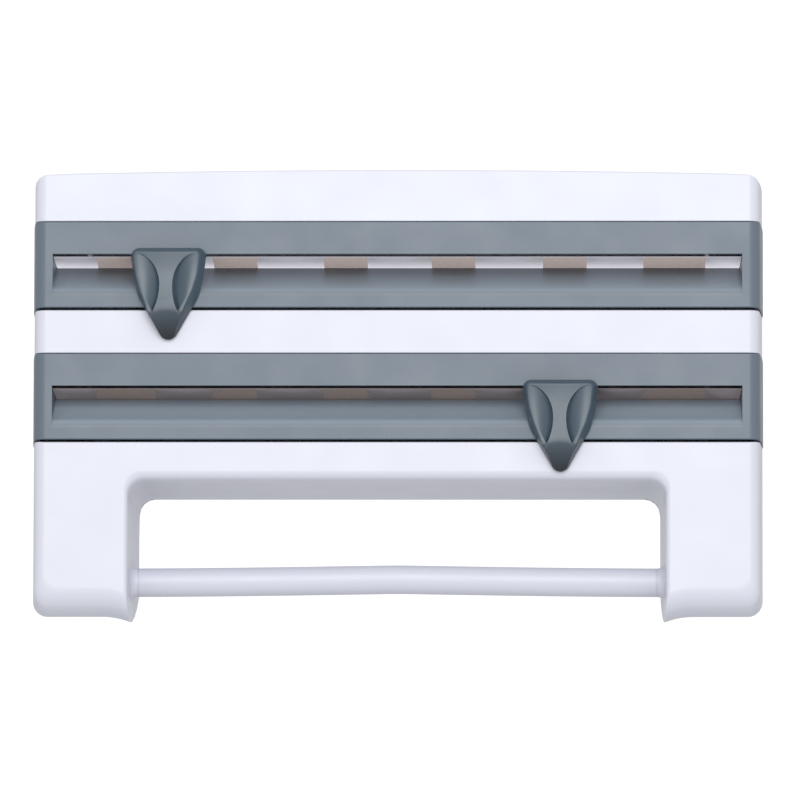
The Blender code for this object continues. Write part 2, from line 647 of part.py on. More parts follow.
def cutter_screw(bottom, centre_x, name):
    return screw(name, (centre_x, 6 * MM + GAP, bottom + SCREW_HEIGHT), "depth", -1,
                 11 * MM, 2.4 * MM, 1.15 * MM, 1.2 * MM)


def drawer(level, bottom, cutter_x, tone):
    """One drawer with everything that rides in it."""
    drawer_front(bottom, level + "_drawer_front")
    drawer_tray(bottom, level + "_drawer_tray")
    tray_screws(bottom, level)
    film_guide(bottom, level + "_film_guide", "guide_" + tone)
    grip_pads(bottom, level, "pad_" + tone)
    cutter_grip(bottom, cutter_x, level + "_cutter_grip")
    cutter_carriage(bottom, cutter_x, level + "_cutter_carriage")
    cutter_blade(bottom, cutter_x, level + "_cutter_blade")
    cutter_screw(bottom, cutter_x, level + "_cutter_screw")


# Towel rod -----------------------------------------------------------------------------------------
def rod_half_length():
    return leg_inner(ROD_DEPTH) - 2 * GAP - SOCKET_LENGTH - GAP


def rod_tube():
    """Tube with a solid web that seats the spring; both ends are open."""
    half = rod_half_length()
    centre = (0, ROD_DEPTH, ROD_HEIGHT)
    tube = turned([(-half, ROD_RADIUS - 0.4 * MM), (-half + 0.4 * MM, ROD_RADIUS),
                   (half - 0.4 * MM, ROD_RADIUS), (half, ROD_RADIUS - 0.4 * MM)],
                  centre, "x", "rod_tube", "white", 28)
    left = turned([(-half - MM, ROD_BORE), (-half + SEAT_DEPTH, ROD_BORE)], centre, "x", "bore",
                  "white", 20)
    right = turned([(-half + SEAT_DEPTH + 3 * MM, ROD_BORE), (half + MM, ROD_BORE)], centre, "x",
                   "bore", "white", 20)
    return combine(tube, [left, right], "DIFFERENCE")


def rod_end_cap():
    """Fixed plug with a pin in the rod's right end."""
    half = rod_half_length()
    inside = ROD_BORE - GAP
    return turned([(half - 14 * MM, inside), (half - 0.2 * MM, inside), (half - 0.2 * MM, PIN_RADIUS),
                   (half + SOCKET_LENGTH - GAP, PIN_RADIUS),
                   (half + SOCKET_LENGTH + 0.2 * MM, PIN_RADIUS - 0.5 * MM)],
                  (0, ROD_DEPTH, ROD_HEIGHT), "x", "rod_end_cap", "white", 20)


def rod_plunger():
    """Sprung plug with a pin in the rod's left end; pressed in, it frees the rod."""
    half = rod_half_length()
    inside = ROD_BORE - GAP
    return turned([(-half - SOCKET_LENGTH - 0.2 * MM, PIN_RADIUS - 0.5 * MM),
                   (-half - SOCKET_LENGTH + GAP, PIN_RADIUS), (-half + 0.2 * MM, PIN_RADIUS),
                   (-half + 0.2 * MM, inside), (-half + PLUNGER_INNER, inside)],
                  (0, ROD_DEPTH, ROD_HEIGHT), "x", "rod_plunger", "inner_white", 20)


def rod_spring():
    """Compression spring between the plunger and the tube's web."""
    half = rod_half_length()
    wire = 0.45 * MM
    coil = 4.6 * MM
    start = -half + PLUNGER_INNER + GAP + wire
    length = SEAT_DEPTH - PLUNGER_INNER - 2 * GAP - 2 * wire
    turns, steps, sides = 7, 10, 5
    rings = []
    for k in range(turns * steps + 1):
        turn = 2 * math.pi * k / steps
        ring = []
        for j in range(sides):
            around = 2 * math.pi * j / sides
            radius = coil + wire * math.cos(around)
            point = place(start + length * k / (turns * steps), ROD_DEPTH, ROD_HEIGHT)
            ring.append(point + Vector((wire * math.sin(around), radius * math.cos(turn),
                                        radius * math.sin(turn))))
        rings.append(ring)
    return loft(rings, "rod_spring", "steel")


def pivot(objects, name, position):
    """Give moving pieces an empty parent on their joint's axis."""
    empty = bpy.data.objects.new(name, None)
    bpy.context.collection.objects.link(empty)
    empty.location = position
    bpy.context.view_layer.update()
    for child in objects:
        child.parent = empty
        child.matrix_parent_inverse = empty.matrix_world.inverted()
    return empty


def build():
    clear_scene()
    main_housing()
    middle_deck()
    top_shelf()
    back_panel()
    back_panel_screws()
    rod_sockets()
    upper_bottom = DRAWER_BOTTOM + DRAWER_PITCH
    runners(BEAM_TOP, HOUSING_BACK, "lower")
    runners(BEAM_TOP + DRAWER_PITCH, DECK_BACK, "upper")
    drawer("upper", upper_bottom, UPPER_CUTTER_X, "light")
    drawer("lower", DRAWER_BOTTOM, LOWER_CUTTER_X, "dark")
    rod = [rod_tube(), rod_end_cap(), rod_spring(), rod_plunger()]
    pivot(rod, "towel_rod_axis", place(0, ROD_DEPTH, ROD_HEIGHT))
    for level, bottom, x in (("upper", upper_bottom, UPPER_CUTTER_X),
                             ("lower", DRAWER_BOTTOM, LOWER_CUTTER_X)):
        riders = [o for o in bpy.data.objects if o.name.startswith(level + "_cutter")]
        cutter = pivot(riders, level + "_cutter_slide", place(x, 0, bottom + LIP_HEIGHT))
        kinds = tuple(f"{level}_{kind}_" for kind in ("drawer", "tray", "film", "grip"))
        fixed = [o for o in bpy.data.objects if o.name.startswith(kinds)]
        pivot(fixed + [cutter], level + "_drawer_slide", place(0, 0, bottom))


build()
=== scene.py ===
# Looks of a wall-mounted kitchen roll dispenser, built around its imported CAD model.
# Units are metres in the model's frame: +X the width, -Y the front, +Z up.  Inside the functions,
# places are given as (x, depth, height): depth runs back from the housing's front face and height up
# from the level just under the legs.

import math

import bmesh
import bpy
import numpy as np
from mathutils import Matrix, Vector


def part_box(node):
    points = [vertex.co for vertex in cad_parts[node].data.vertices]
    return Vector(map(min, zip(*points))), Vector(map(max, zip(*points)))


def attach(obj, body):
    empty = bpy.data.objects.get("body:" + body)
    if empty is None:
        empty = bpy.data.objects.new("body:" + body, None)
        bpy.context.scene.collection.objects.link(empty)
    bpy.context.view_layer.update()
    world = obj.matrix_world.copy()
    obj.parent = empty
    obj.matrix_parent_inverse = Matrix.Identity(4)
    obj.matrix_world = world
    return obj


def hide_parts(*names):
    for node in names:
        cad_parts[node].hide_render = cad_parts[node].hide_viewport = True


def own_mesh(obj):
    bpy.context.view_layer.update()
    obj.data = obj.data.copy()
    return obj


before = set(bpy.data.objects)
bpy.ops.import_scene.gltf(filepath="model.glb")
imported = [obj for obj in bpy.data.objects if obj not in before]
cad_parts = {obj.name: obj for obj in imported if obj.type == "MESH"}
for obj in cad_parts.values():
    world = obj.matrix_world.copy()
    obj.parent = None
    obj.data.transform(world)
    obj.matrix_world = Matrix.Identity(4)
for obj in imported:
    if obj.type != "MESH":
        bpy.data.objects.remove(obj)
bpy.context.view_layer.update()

MM = 0.001

# Sizes ------------------------------------------------------------------------------------------
LEG_BOTTOM = 2.9 * MM
LEG_TIP_DROP = 2.9 * MM
HOUSING_LOW, HOUSING_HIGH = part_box("main_housing")
FRONT = HOUSING_LOW.y
BASE = HOUSING_LOW.z - (LEG_BOTTOM - LEG_TIP_DROP)
WIDTH = HOUSING_HIGH.x - HOUSING_LOW.x
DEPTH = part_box("back_panel")[1].y - FRONT
HOUSING_BACK = HOUSING_HIGH.y - FRONT
WALL = 2.5 * MM
GAP = 0.3 * MM
LINE_GAP = 1.3 * MM             # dark line under each drawer
OVERLAP = 0.1 * MM              # how far neighbouring stretches of one moulding reach into each other

CORNER_RADIUS = 6 * MM
FLARE = 2.5 * MM
FLARE_DEPTH = 50 * MM
WRAP_DEPTH = 41.5 * MM
DRAWER_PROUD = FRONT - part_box("lower_drawer_front")[0].y
DRAWER_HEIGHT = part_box("lower_drawer_front")[1].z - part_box("lower_drawer_front")[0].z
DRAWER_BOTTOM = {level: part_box(level + "_drawer_front")[0].z - BASE for level in ("upper", "lower")}
BEAM_TOP = DRAWER_BOTTOM["lower"] - LINE_GAP
BEAM_BOTTOM = BEAM_TOP - 20 * MM
SHELF_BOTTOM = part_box("top_shelf")[0].z - BASE
RAIL_TOP = SHELF_BOTTOM + 25.1 * MM
RAIL_ARCH = 2.4 * MM
RAIL_SIDE_DROP = 3.2 * MM
RAIL_DROP_REACH = 8 * MM

LEG_INNER_X = 142.1 * MM
LEG_DRAFT = math.radians(1.7)
BAY_CORNER_RADIUS = 8.5 * MM
LEG_TIP_REACH = 15 * MM
LEG_BOTTOM_RADIUS = 7.8 * MM
LEG_NOSE_DEPTH = 16 * MM
LEG_NOSE_HEIGHT = 14 * MM
LEG_HEEL_RISE = 3.5             # rise over the square of the depth behind the nose, in 1/m
BAY_EDGE_RADIUS = 2.5 * MM
ROOF_EDGE_RADIUS = 5 * MM
TOP_EDGE_RADIUS = 1.0 * MM
SECTION_DEPTHS = (28 * MM, 41 * MM, 60 * MM, 76 * MM)   # where the housing's outline is taken
BOSS_RADIUS = 4 * MM
BOSS_PLACES = [(side * x, h) for side in (-1, 1) for x, h in ((166 * MM, 42 * MM), (110 * MM, 84 * MM))]

SOCKET_FLARE = 2.4 * MM
SOCKET_BORE = 4.3 * MM
SOCKET_ROOT = 1.6 * MM          # how far a socket reaches into the leg's wall
SEAM = 0.12 * MM                # how far rod and sockets reach into the clearance between them
ROD_BORE = 6 * MM
ROD_BOW = 1.7 * MM
PLUNGER_SEAT = 48 * MM

SLOT_HALF = 182.3 * MM
SLOT_DRAFT = math.radians(2.2)
GROOVE_DEPTH = 24 * MM
RAMP_FOOT = 9.6 * MM
RAMP_TOP = 24.15 * MM
RAMP_THICKNESS = 2.2 * MM
FOOT_RADIUS = 6.2 * MM
LIP_HEIGHT = 28.6 * MM
TRAY_BOSS_RADIUS = 3.4 * MM
TRAY_BOSS_BOTTOM = 4 * MM
TRAY_BOSS_TOP = 15.2 * MM

GUIDE_FRONT = 0.6 * MM
GUIDE_BACK = 27 * MM
GUIDE_NOSE = 2.2 * MM
GUIDE_HEIGHT = 26.6 * MM
GUIDE_SLOPE = 0.092
GUIDE_THICKNESS = 0.6 * MM
PAD_THICKNESS = 0.36 * MM
PAD_CLEARANCE = 0.03 * MM
PADS = [(x * MM, half * MM) for x, half in ((-143.5, 15.8), (-86.0, 11.7), (-27.5, 11.7),
                                            (29.5, 11.7), (88.5, 11.7), (146.5, 16.6))]

GRIP_THICKNESS = 9 * MM
GRIP_BACK = -0.9 * MM
# The grip's own shape is in millimetres: half widths, and distances below its top.
SHIELD_HALF = [(20.4, 0, 4.5), (18.6, 15, 40), (15.9, 26, 20)]      # corners (half width, below, radius)
SHIELD_TIP = (0, 54.2, 5.2)
GRIP_FOOT = 1.4                 # height of the wall's straight foot
GRIP_WALL_ANGLE = 69
GRIP_NOSE_ANGLE = 80
GRIP_NOSE_START = 32.7
GRIP_ROWS = 170
GRIP_CELLS = (14, 2, 26, 16)    # grid cells over half the ridge, a scoop's inner edge, the scoop, the flank
SCOOP_EDGE = 0.7                # width of a scoop's steep inner edge
SCOOP_DEPTH = 3.4
SCOOP_MIDDLE = 20.5
SCOOP_REACH = (16.8, 21.5)      # above and below the middle
SCOOP_INNER = 16.2              # half width between the scoops' ends
SCOOP_SWELL = 12.8              # how much nearer the scoops' inner edges come in the middle
SCOOP_BORDER = 4.0              # width left outside a scoop
BLADE_GRIND = 0.72              # share of the blade's length and width that is left at its faces

# Painted light and shade for the film guides and pads: colour at 0.72 at the front face, rising to 1.1 at
# 27 mm deep, evening out the shade inside the groove.
STRIP_PAINTED_SHADING = ("Object", "Y", FRONT, FRONT + 27 * MM, 0.72, 1.1)

FLOOR_LEVEL = -0.86
KEY_PLACE, KEY_SIZE, KEY_POWER = (0.1, -3.0, 0.85), (1.6, 2.0), 54
AMBIENT, BACKDROP = 0.78, 1.1   # strength of the white surround as light and as seen by the camera
CAMERA_TARGET = Vector((0.0016, FRONT, -0.0363))
CAMERA_DISTANCE, LENS = 6.0, 511.5
CAMERA_BELOW, CAMERA_RIGHT, ROLL = math.radians(7.0), math.radians(1.0), math.radians(0.12)


def place(x, depth, height):
    """Row-frame position of a point given by its width, depth and height."""
    return Vector((x, FRONT + depth, BASE + height))


# Materials --------------------------------------------------------------------------------------
class Surface:
    """A Principled material with helpers for building its procedural network."""

    def __init__(self, name, metallic=0.0, specular=0.5):
        self.material = bpy.data.materials.new(name)
        self.material.use_nodes = True
        self.tree = self.material.node_tree
        self.shader = self.tree.nodes["Principled BSDF"]
        self.shader.inputs["Metallic"].default_value = metallic
        self.shader.inputs["Specular IOR Level"].default_value = specular
        self.coordinates = self.tree.nodes.new("ShaderNodeTexCoord").outputs["Object"]

    def node(self, kind, inputs=None, **settings):
        made = self.tree.nodes.new(kind)
        for key, value in settings.items():
            setattr(made, key, value)
        for key, value in (inputs or {}).items():
            if isinstance(value, bpy.types.NodeSocket):
                self.tree.links.new(value, made.inputs[key])
            else:
                made.inputs[key].default_value = value
        return made

    def noise(self, scale, detail=2.0, roughness=0.5, stretch=None):
        """Noise value; stretch scales the coordinates along each axis first."""
        where = self.coordinates
        if stretch:
            where = self.node("ShaderNodeMapping", {"Vector": where, "Scale": stretch}).outputs[0]
        made = self.node("ShaderNodeTexNoise", {"Vector": where, "Scale": scale, "Detail": detail,
                                                "Roughness": roughness})
        return made.outputs["Fac"]

    def spread(self, value, low, high):
        """Map a noise value, which mostly lies between 0.3 and 0.7, to low..high."""
        made = self.node("ShaderNodeMapRange", {"Value": value, "From Min": 0.3, "From Max": 0.7,
                                                "To Min": low, "To Max": high})
        return made.outputs["Result"]

    def mix(self, share, one, two):
        made = self.node("ShaderNodeMix", data_type="RGBA")
        for socket, value in ((made.inputs[0], share), (made.inputs[6], one), (made.inputs[7], two)):
            if isinstance(value, bpy.types.NodeSocket):
                self.tree.links.new(value, socket)
            else:
                socket.default_value = value
        return made.outputs[2]

    def bump(self, height, distance, strength, after=None):
        inputs = {"Height": height, "Distance": distance, "Strength": strength}
        if after is not None:
            inputs["Normal"] = after
        return self.node("ShaderNodeBump", inputs).outputs["Normal"]

    def worn_edges(self, amount):
        """How worn a convex edge is, broken up by noise."""
        point = self.node("ShaderNodeNewGeometry").outputs["Pointiness"]
        edge = self.node("ShaderNodeMapRange", {"Value": point, "From Min": 0.52, "From Max": 0.60,
                                                "To Min": 0.0, "To Max": amount}).outputs["Result"]
        broken = self.spread(self.noise(300, 4), 0.2, 1.0)
        return self.node("ShaderNodeMath", {0: edge, 1: broken}, operation="MULTIPLY").outputs[0]

    def shaded(self, colour, kind, axis, start, stop, first, last):
        """Multiply a colour by a factor that changes from first to last along an axis."""
        where = self.tree.nodes.new("ShaderNodeTexCoord").outputs[kind]
        position = self.node("ShaderNodeSeparateXYZ", {"Vector": where}).outputs[axis]
        factor = self.node("ShaderNodeMapRange", {"Value": position, "From Min": start, "From Max": stop,
                                                  "To Min": first, "To Max": last}).outputs["Result"]
        return self.node("ShaderNodeVectorMath", {0: colour, 1: factor}, operation="MULTIPLY").outputs[0]

    def link(self, socket, value):
        self.tree.links.new(value, self.shader.inputs[socket])

    def glow(self, colour, strength):
        """Painted light: emission of the colour, growing inwards, that makes pieces inside the grooves look
        lit though they are no lamps.
        """
        inwards = self.shaded(colour, "Object", "Y", FRONT, FRONT + 27 * MM, 0.0, 2.2)
        self.link("Emission Color", inwards)
        self.shader.inputs["Emission Strength"].default_value = strength


def tone(colour, factor):
    return (*[min(1.0, c * factor) for c in colour], 1.0)


def moulded_plastic(name, colour, roughness, mottle=0.03, grain=1800, grain_depth=0.012, wear=0.0,
                    specular=0.5, painted_shading=()):
    """Injection-moulded plastic: fine eroded grain, faint flow mottling and sink waviness.

    Each painted shading step is (coordinate kind, axis, from, to, tone at from, tone at to): painted light
    or shade that multiplies the colour along an axis.
    """
    made = Surface(name, specular=specular)
    flow = made.noise(9, 3, 0.55, stretch=(1.0, 1.0, 2.2))
    speck = made.noise(900, 2)
    base = made.mix(made.spread(flow, 0.0, 1.0), tone(colour, 1 - mottle), tone(colour, 1 + mottle))
    base = made.mix(made.spread(speck, 0.0, 0.35), base, tone(colour, 1 - 1.6 * mottle))
    if wear:
        base = made.mix(made.worn_edges(wear), base, tone([c ** 0.75 for c in colour], 1.0))
    # Painted light and shade multiplied into the colour.
    for shade in painted_shading:
        base = made.shaded(base, *shade)
    made.link("Base Color", base)
    rough = made.spread(made.noise(45, 4), roughness - 0.04, roughness + 0.04)
    made.link("Roughness", rough)
    wavy = made.bump(made.noise(28, 2), 0.02 * MM, 0.5)
    made.link("Normal", made.bump(made.noise(grain, 2, 0.6), grain_depth * MM, 0.7, after=wavy))
    return made.material


def rubber(name, colour, glow):
    """Soft pad material: matt, with a fine pebbled surface, painted light and shade along the groove and a
    painted glow.
    """
    made = Surface(name, specular=0.3)
    speck = made.noise(700, 4, 0.7)
    base = made.mix(made.spread(speck, 0.0, 1.0), tone(colour, 0.9), tone(colour, 1.08))
    # Painted light and shade: darker at the groove's front, lighter deeper in.
    base = made.shaded(base, *STRIP_PAINTED_SHADING)
    made.link("Base Color", base)
    made.link("Roughness", made.spread(made.noise(250, 3), 0.68, 0.85))
    cells = made.node("ShaderNodeTexVoronoi", {"Vector": made.coordinates, "Scale": 1400})
    made.link("Normal", made.bump(cells.outputs["Distance"], 0.05 * MM, 0.6))
    # Painted light: the pad glows though it is no lamp.
    made.glow(base, glow)
    return made.material


def strip_plastic(name, colour, glow):
    """Extruded strip: drawn lines along its length and a faint satin, with painted light and shade along
    the groove and a painted glow.
    """
    made = Surface(name, specular=0.5)
    drawn = made.noise(500, 2, stretch=(0.02, 1.0, 1.0))
    base = made.mix(made.spread(drawn, 0.0, 1.0), tone(colour, 0.95), tone(colour, 1.04))
    # Painted light and shade: darker at the groove's front, lighter deeper in.
    base = made.shaded(base, *STRIP_PAINTED_SHADING)
    made.link("Base Color", base)
    made.link("Roughness", made.spread(made.noise(120, 3), 0.28, 0.40))
    made.link("Normal", made.bump(drawn, 0.02 * MM, 0.5))
    # Painted light: the strip glows though it is no lamp.
    made.glow(base, glow)
    return made.material


def plated_steel(name, colour, roughness=0.28):
    """Steel with fine brushing, faint stains and a few scratches."""
    made = Surface(name, metallic=1.0)
    brush = made.noise(1500, 2, stretch=(0.05, 1.0, 1.0))
    stain = made.noise(120, 4, 0.6)
    made.link("Base Color", made.mix(made.spread(stain, 0.0, 1.0), tone(colour, 0.86), tone(colour, 1.05)))
    made.link("Roughness", made.spread(brush, roughness - 0.08, roughness + 0.12))
    made.link("Normal", made.bump(brush, 0.01 * MM, 0.6))
    return made.material


WHITE = moulded_plastic("white_housing", (0.585, 0.60, 0.675), 0.38, mottle=0.008, grain_depth=0.006)
# Painted light: a slightly lighter copy of the housing white for the shelf tray, standing in for the extra
# light its rail catches from above.
TOP_WHITE_PAINTED_LIGHT = moulded_plastic("top_white_painted_light", (0.60, 0.615, 0.69), 0.38, mottle=0.008, grain_depth=0.006)
ROD_WHITE = moulded_plastic("rod_white", (0.56, 0.57, 0.65), 0.42, mottle=0.008, grain_depth=0.006)
INNER_WHITE = moulded_plastic("inner_white", (0.66, 0.67, 0.72), 0.55, mottle=0.02, grain=900,
                              grain_depth=0.02)
GREY = moulded_plastic("drawer_grey", (0.107, 0.138, 0.172), 0.40, wear=0.15)
# Painted shade: the cutter grey darkens towards the bottom of each piece, to 0.15 of itself at the lowest,
# standing in for the shade on the grips' down-facing noses.
CUTTER_GREY = moulded_plastic("cutter_grey", (0.045, 0.071, 0.096), 0.35, wear=0.15, specular=0.55,
                              painted_shading=[("Generated", "Z", 0.02, 0.40, 0.15, 1.0)])
# Painted light and shade: the groove grey is brightened by 1.72 (upper) or 1.88 (lower) just behind the
# front face, and deeper in darkened to 0.36 of that in the upper groove and brightened 1.6 times in the
# lower one, standing in for how much light reaches each groove.
GROOVE_PAINTED_LIGHT = {level: moulded_plastic(
    level + "_groove_painted_light", (0.112, 0.137, 0.163), 0.40,
    painted_shading=[("Object", "Y", FRONT - 0.4 * MM, FRONT + 0.3 * MM, 1.0, near),
            ("Object", "Y", FRONT + 2 * MM, FRONT + 20 * MM, 1.0, far)])
    for level, near, far in (("upper", 1.72, 0.36), ("lower", 1.88, 1.60))}
# Painted light and shade: the upper guide is a lit copy and the lower one a darker shaded copy of the same
# strip; both glow a little as painted light.
GUIDE = {"upper": strip_plastic("guide_light", (0.87, 0.85, 0.92), 0.36),
         "lower": strip_plastic("guide_dark", (0.40, 0.335, 0.335), 0.08)}
# Painted light and shade: the upper pads are lit copies and the lower ones darker shaded copies of the same
# pads; both glow a little as painted light.
PAD = {"upper": rubber("pad_light", (0.84, 0.70, 0.65), 0.12),
       "lower": rubber("pad_dark", (0.34, 0.27, 0.24), 0.07)}
STEEL = plated_steel("steel", (0.62, 0.63, 0.65))
# Painted shade: the tray screws are near-black steel so that they stay as dark as the gaps they show
# through.
GAP_SHADE_STEEL = plated_steel("steel_painted_shade", (0.10, 0.10, 0.11), 0.42)


# Mesh helpers -----------------------------------------------------------------------------------
def object_of(bm, name, finish, sharp=38, tidy=True):
    """Turn a bmesh into a named object with outward faces and clean shading."""
    if tidy:
        bmesh.ops.remove_doubles(bm, verts=bm.verts, dist=1e-6)
        bmesh.ops.dissolve_degenerate(bm, edges=bm.edges, dist=1e-7)
    bmesh.ops.recalc_face_normals(bm, faces=bm.faces)
    mesh = bpy.data.meshes.new(name)
    bm.to_mesh(mesh)
    bm.free()
    made = bpy.data.objects.new(name, mesh)
    bpy.context.scene.collection.objects.link(made)
    mesh.materials.append(finish)
    mesh.shade_smooth()
    mesh.set_sharp_from_angle(angle=math.radians(sharp))
    return made


def loft(loops, name, finish, sharp=38):
    """Skin equal-length loops of points and cap both ends."""
    bm = bmesh.new()
    rings = [[bm.verts.new(p) for p in loop] for loop in loops]
    bm.faces.new(rings[0])
    bm.faces.new(rings[-1])
    for one, two in zip(rings, rings[1:]):
        for i in range(len(one)):
            j = (i + 1) % len(one)
            bm.faces.new((one[i], one[j], two[j], two[i]))
    return object_of(bm, name, finish, sharp)


def turned(profile, centre, axis, name, finish, sides=64, closed=False):
    """Turn (distance along axis, radius) points about an axis; closed joins the last to the first."""
    bm = bmesh.new()
    rings = []
    for along, radius in profile:
        ring = []
        for k in range(sides):
            turn = 2 * math.pi * k / sides
            a, b = radius * math.cos(turn), radius * math.sin(turn)
            offset = {"x": (along, a, b), "depth": (a, along, b), "height": (a, b, along)}[axis]
            ring.append(bm.verts.new(place(*centre) + Vector(offset)))
        rings.append(ring)
    pairs = list(zip(rings, rings[1:]))
    if closed:
        pairs.append((rings[-1], rings[0]))
    else:
        bm.faces.new(rings[0])
        bm.faces.new(rings[-1])
    for one, two in pairs:
        for i in range(sides):
            j = (i + 1) % sides
            bm.faces.new((one[i], one[j], two[j], two[i]))
    return object_of(bm, name, finish)


def box(x0, x1, d0, d1, h0, h1, name, finish):
    plan = [(x0, d0), (x1, d0), (x1, d1), (x0, d1)]
    return loft([[place(x, d, h) for x, d in plan] for h in (h0, h1)], name, finish)


def combine(target, others, operation):
    """Boolean the other objects into target and drop them."""
    for other in others:
        step = target.modifiers.new("step", "BOOLEAN")
        step.operation = operation
        step.solver = "EXACT"
        step.material_mode = "TRANSFER"
        step.object = other
    bpy.context.view_layer.update()
    shaped = target.evaluated_get(bpy.context.evaluated_depsgraph_get())
    mesh = bpy.data.meshes.new_from_object(shaped)
    mesh.name = target.name
    target.modifiers.clear()
    target.data = mesh
    for other in others:
        bpy.data.objects.remove(other, do_unlink=True)


def soften(made, width):
    """Round the sharp edges with a bevel and keep flat faces flat in the shading."""
    bevel = made.modifiers.new("edges", "BEVEL")
    bevel.width = width
    bevel.segments = 2
    bevel.limit_method = "ANGLE"
    bevel.angle_limit = math.radians(40)
    bevel.miter_outer = "MITER_ARC"
    flat_shading(made)


def flat_shading(made):
    """Keep large flat faces flat where they meet rounded edges."""
    weighted = made.modifiers.new("normals", "WEIGHTED_NORMAL")
    weighted.mode = "FACE_AREA"
    weighted.weight = 60
    weighted.keep_sharp = True


def arc(centre_x, centre_y, radius, start, stop, steps):
    """Points on an arc, from start to stop in degrees."""
    points = []
    for k in range(steps + 1):
        turn = math.radians(start + (stop - start) * k / steps)
        points.append((centre_x + radius * math.cos(turn), centre_y + radius * math.sin(turn)))
    return points


def rounded_polygon(corners, steps):
    """Round each (x, y, radius) corner of a closed polygon with an arc."""
    points = []
    count = len(corners)
    for i, (x, y, radius) in enumerate(corners):
        here = Vector((x, y))
        before = (Vector(corners[i - 1][:2]) - here).normalized()
        after = (Vector(corners[(i + 1) % count][:2]) - here).normalized()
        half = math.acos(max(-1.0, min(1.0, before.dot(after)))) / 2
        centre = here + (before + after).normalized() * (radius / math.sin(half))
        reach = radius / math.tan(half)
        start, stop = here + before * reach - centre, here + after * reach - centre
        sweep = math.pi - 2 * half
        sign = 1 if start.x * stop.y - start.y * stop.x > 0 else -1
        for k in range(steps + 1):
            turn = sign * sweep * k / steps
            points.append((centre.x + start.x * math.cos(turn) - start.y * math.sin(turn),
                           centre.y + start.x * math.sin(turn) + start.y * math.cos(turn)))
    return points


def adopt(made, body, slot, *nodes):
    """Ride the piece on its body and let it stand for CAD nodes; slot is not used."""
    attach(made, body)
    if nodes:
        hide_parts(*nodes)


# Plan shape shared by every band ----------------------------------------------------------------
def half_width(depth):
    """Half width of the white housing: the sides flare gently from the front to FLARE_DEPTH."""
    left = max(0.0, 1 - depth / FLARE_DEPTH)
    return WIDTH / 2 - FLARE * left * left


def side_path(inset, end_depth):
    """(x, depth) points of the right side, from the front corner back; inset moves them inwards."""
    path = arc(half_width(CORNER_RADIUS) - CORNER_RADIUS, CORNER_RADIUS, CORNER_RADIUS - inset,
               -90, 0, 16)
    for part in range(1, 9):
        depth = CORNER_RADIUS + (end_depth - CORNER_RADIUS) * part / 8
        path.append((half_width(depth) - inset, depth))
    return path


def wrap_outline(inset, end_depth):
    """Closed C-shaped plan outline of a band that wraps round both front corners."""
    outer = side_path(inset, end_depth)
    inner = side_path(WALL, end_depth)
    return outer + inner[::-1] + [(-x, d) for x, d in inner] + [(-x, d) for x, d in outer[::-1]]


def edge_steps(radius, steps=6):
    """(distance from the end plane, inset) pairs of a rounded edge, from the end plane inwards."""
    pairs = []
    for k in range(steps + 1):
        turn = math.radians(90 * k / steps)
        pairs.append((radius * (1 - math.cos(turn)), radius * (1 - math.sin(turn))))
    return pairs


def band(low, high, inset, low_radius, high_radius, name, finish):
    """Wrapped band between two heights with rounded lower and upper outer edges."""
    levels = [(low + rise, inset + drawn) for rise, drawn in edge_steps(low_radius)]
    levels += [(high - fall, inset + drawn) for fall, drawn in edge_steps(high_radius)[::-1]]
    rings = [[place(x, d, h) for x, d in wrap_outline(drawn, WRAP_DEPTH)] for h, drawn in levels]
    return loft(rings, name, finish)


def recess(depth, start, radius):
    """How far a rounded edge has drawn in at this depth behind its front plane."""
    if depth >= start + radius or radius <= 0:
        return 0.0
    rest = start + radius - depth
    return radius - math.sqrt(max(0.0, radius * radius - rest * rest))


# White housing ----------------------------------------------------------------------------------
def leg_inner(depth):
    return LEG_INNER_X - depth * math.tan(LEG_DRAFT)


def leg_underside(x, depth, inset):
    """Height of a leg's underside: a nose at the front, a rising heel and a low inner edge."""
    behind = max(0.0, depth - LEG_NOSE_DEPTH)
    nose = recess(depth, inset, LEG_NOSE_DEPTH - inset) * LEG_NOSE_HEIGHT / LEG_NOSE_DEPTH
    near = max(0.0, 1 - (x - leg_inner(depth)) / LEG_TIP_REACH)
    return LEG_BOTTOM + inset + LEG_HEEL_RISE * behind * behind + nose - LEG_TIP_DROP * near * near


def housing_outline(depth, inset, ears):
    """(x, height) outline at one depth; inset shrinks it to the inner skin, ears raise the sides."""
    skin = inset == 0
    outer_x = half_width(max(depth, CORNER_RADIUS)) - inset - recess(depth, inset, CORNER_RADIUS - inset)
    top = BEAM_TOP - inset - (recess(depth, 0, TOP_EDGE_RADIUS) if skin else 0)
    inner_x = leg_inner(depth) + inset + (recess(depth, 0, BAY_EDGE_RADIUS) if skin else 0)
    roof = BEAM_BOTTOM + inset + (recess(depth, 0, ROOF_EDGE_RADIUS) if skin else 0)
    ear_x = outer_x - WALL + OVERLAP if skin else outer_x
    ear_top = SHELF_BOTTOM - GAP if ears else top
    half = [(ear_x, top), (ear_x, ear_top), (outer_x, ear_top), (outer_x, top)]
    radius = LEG_BOTTOM_RADIUS - inset
    for across, up in arc(0, 0, radius, 0, -90, 12):
        x = outer_x - radius + across
        half.append((x, leg_underside(x, depth, inset) + radius + up))
    for k in range(12, -1, -1):
        x = inner_x + LEG_TIP_REACH * k / 12
        half.append((x, leg_underside(x, depth, inset)))
    radius = BAY_CORNER_RADIUS + inset
    half += arc(inner_x - radius, roof - radius, radius, 0, 90, 12)
    return half + [(-x, h) for x, h in half[::-1]]


def front_depths():
    """Depths that follow every rounded front edge closely."""
    depths = {0.0}
    for radius in (TOP_EDGE_RADIUS, BAY_EDGE_RADIUS, ROOF_EDGE_RADIUS, CORNER_RADIUS, LEG_NOSE_DEPTH):
        depths |= {round(radius * (1 - math.cos(math.radians(15 * k))), 6) for k in range(1, 7)}
    return sorted(depths)


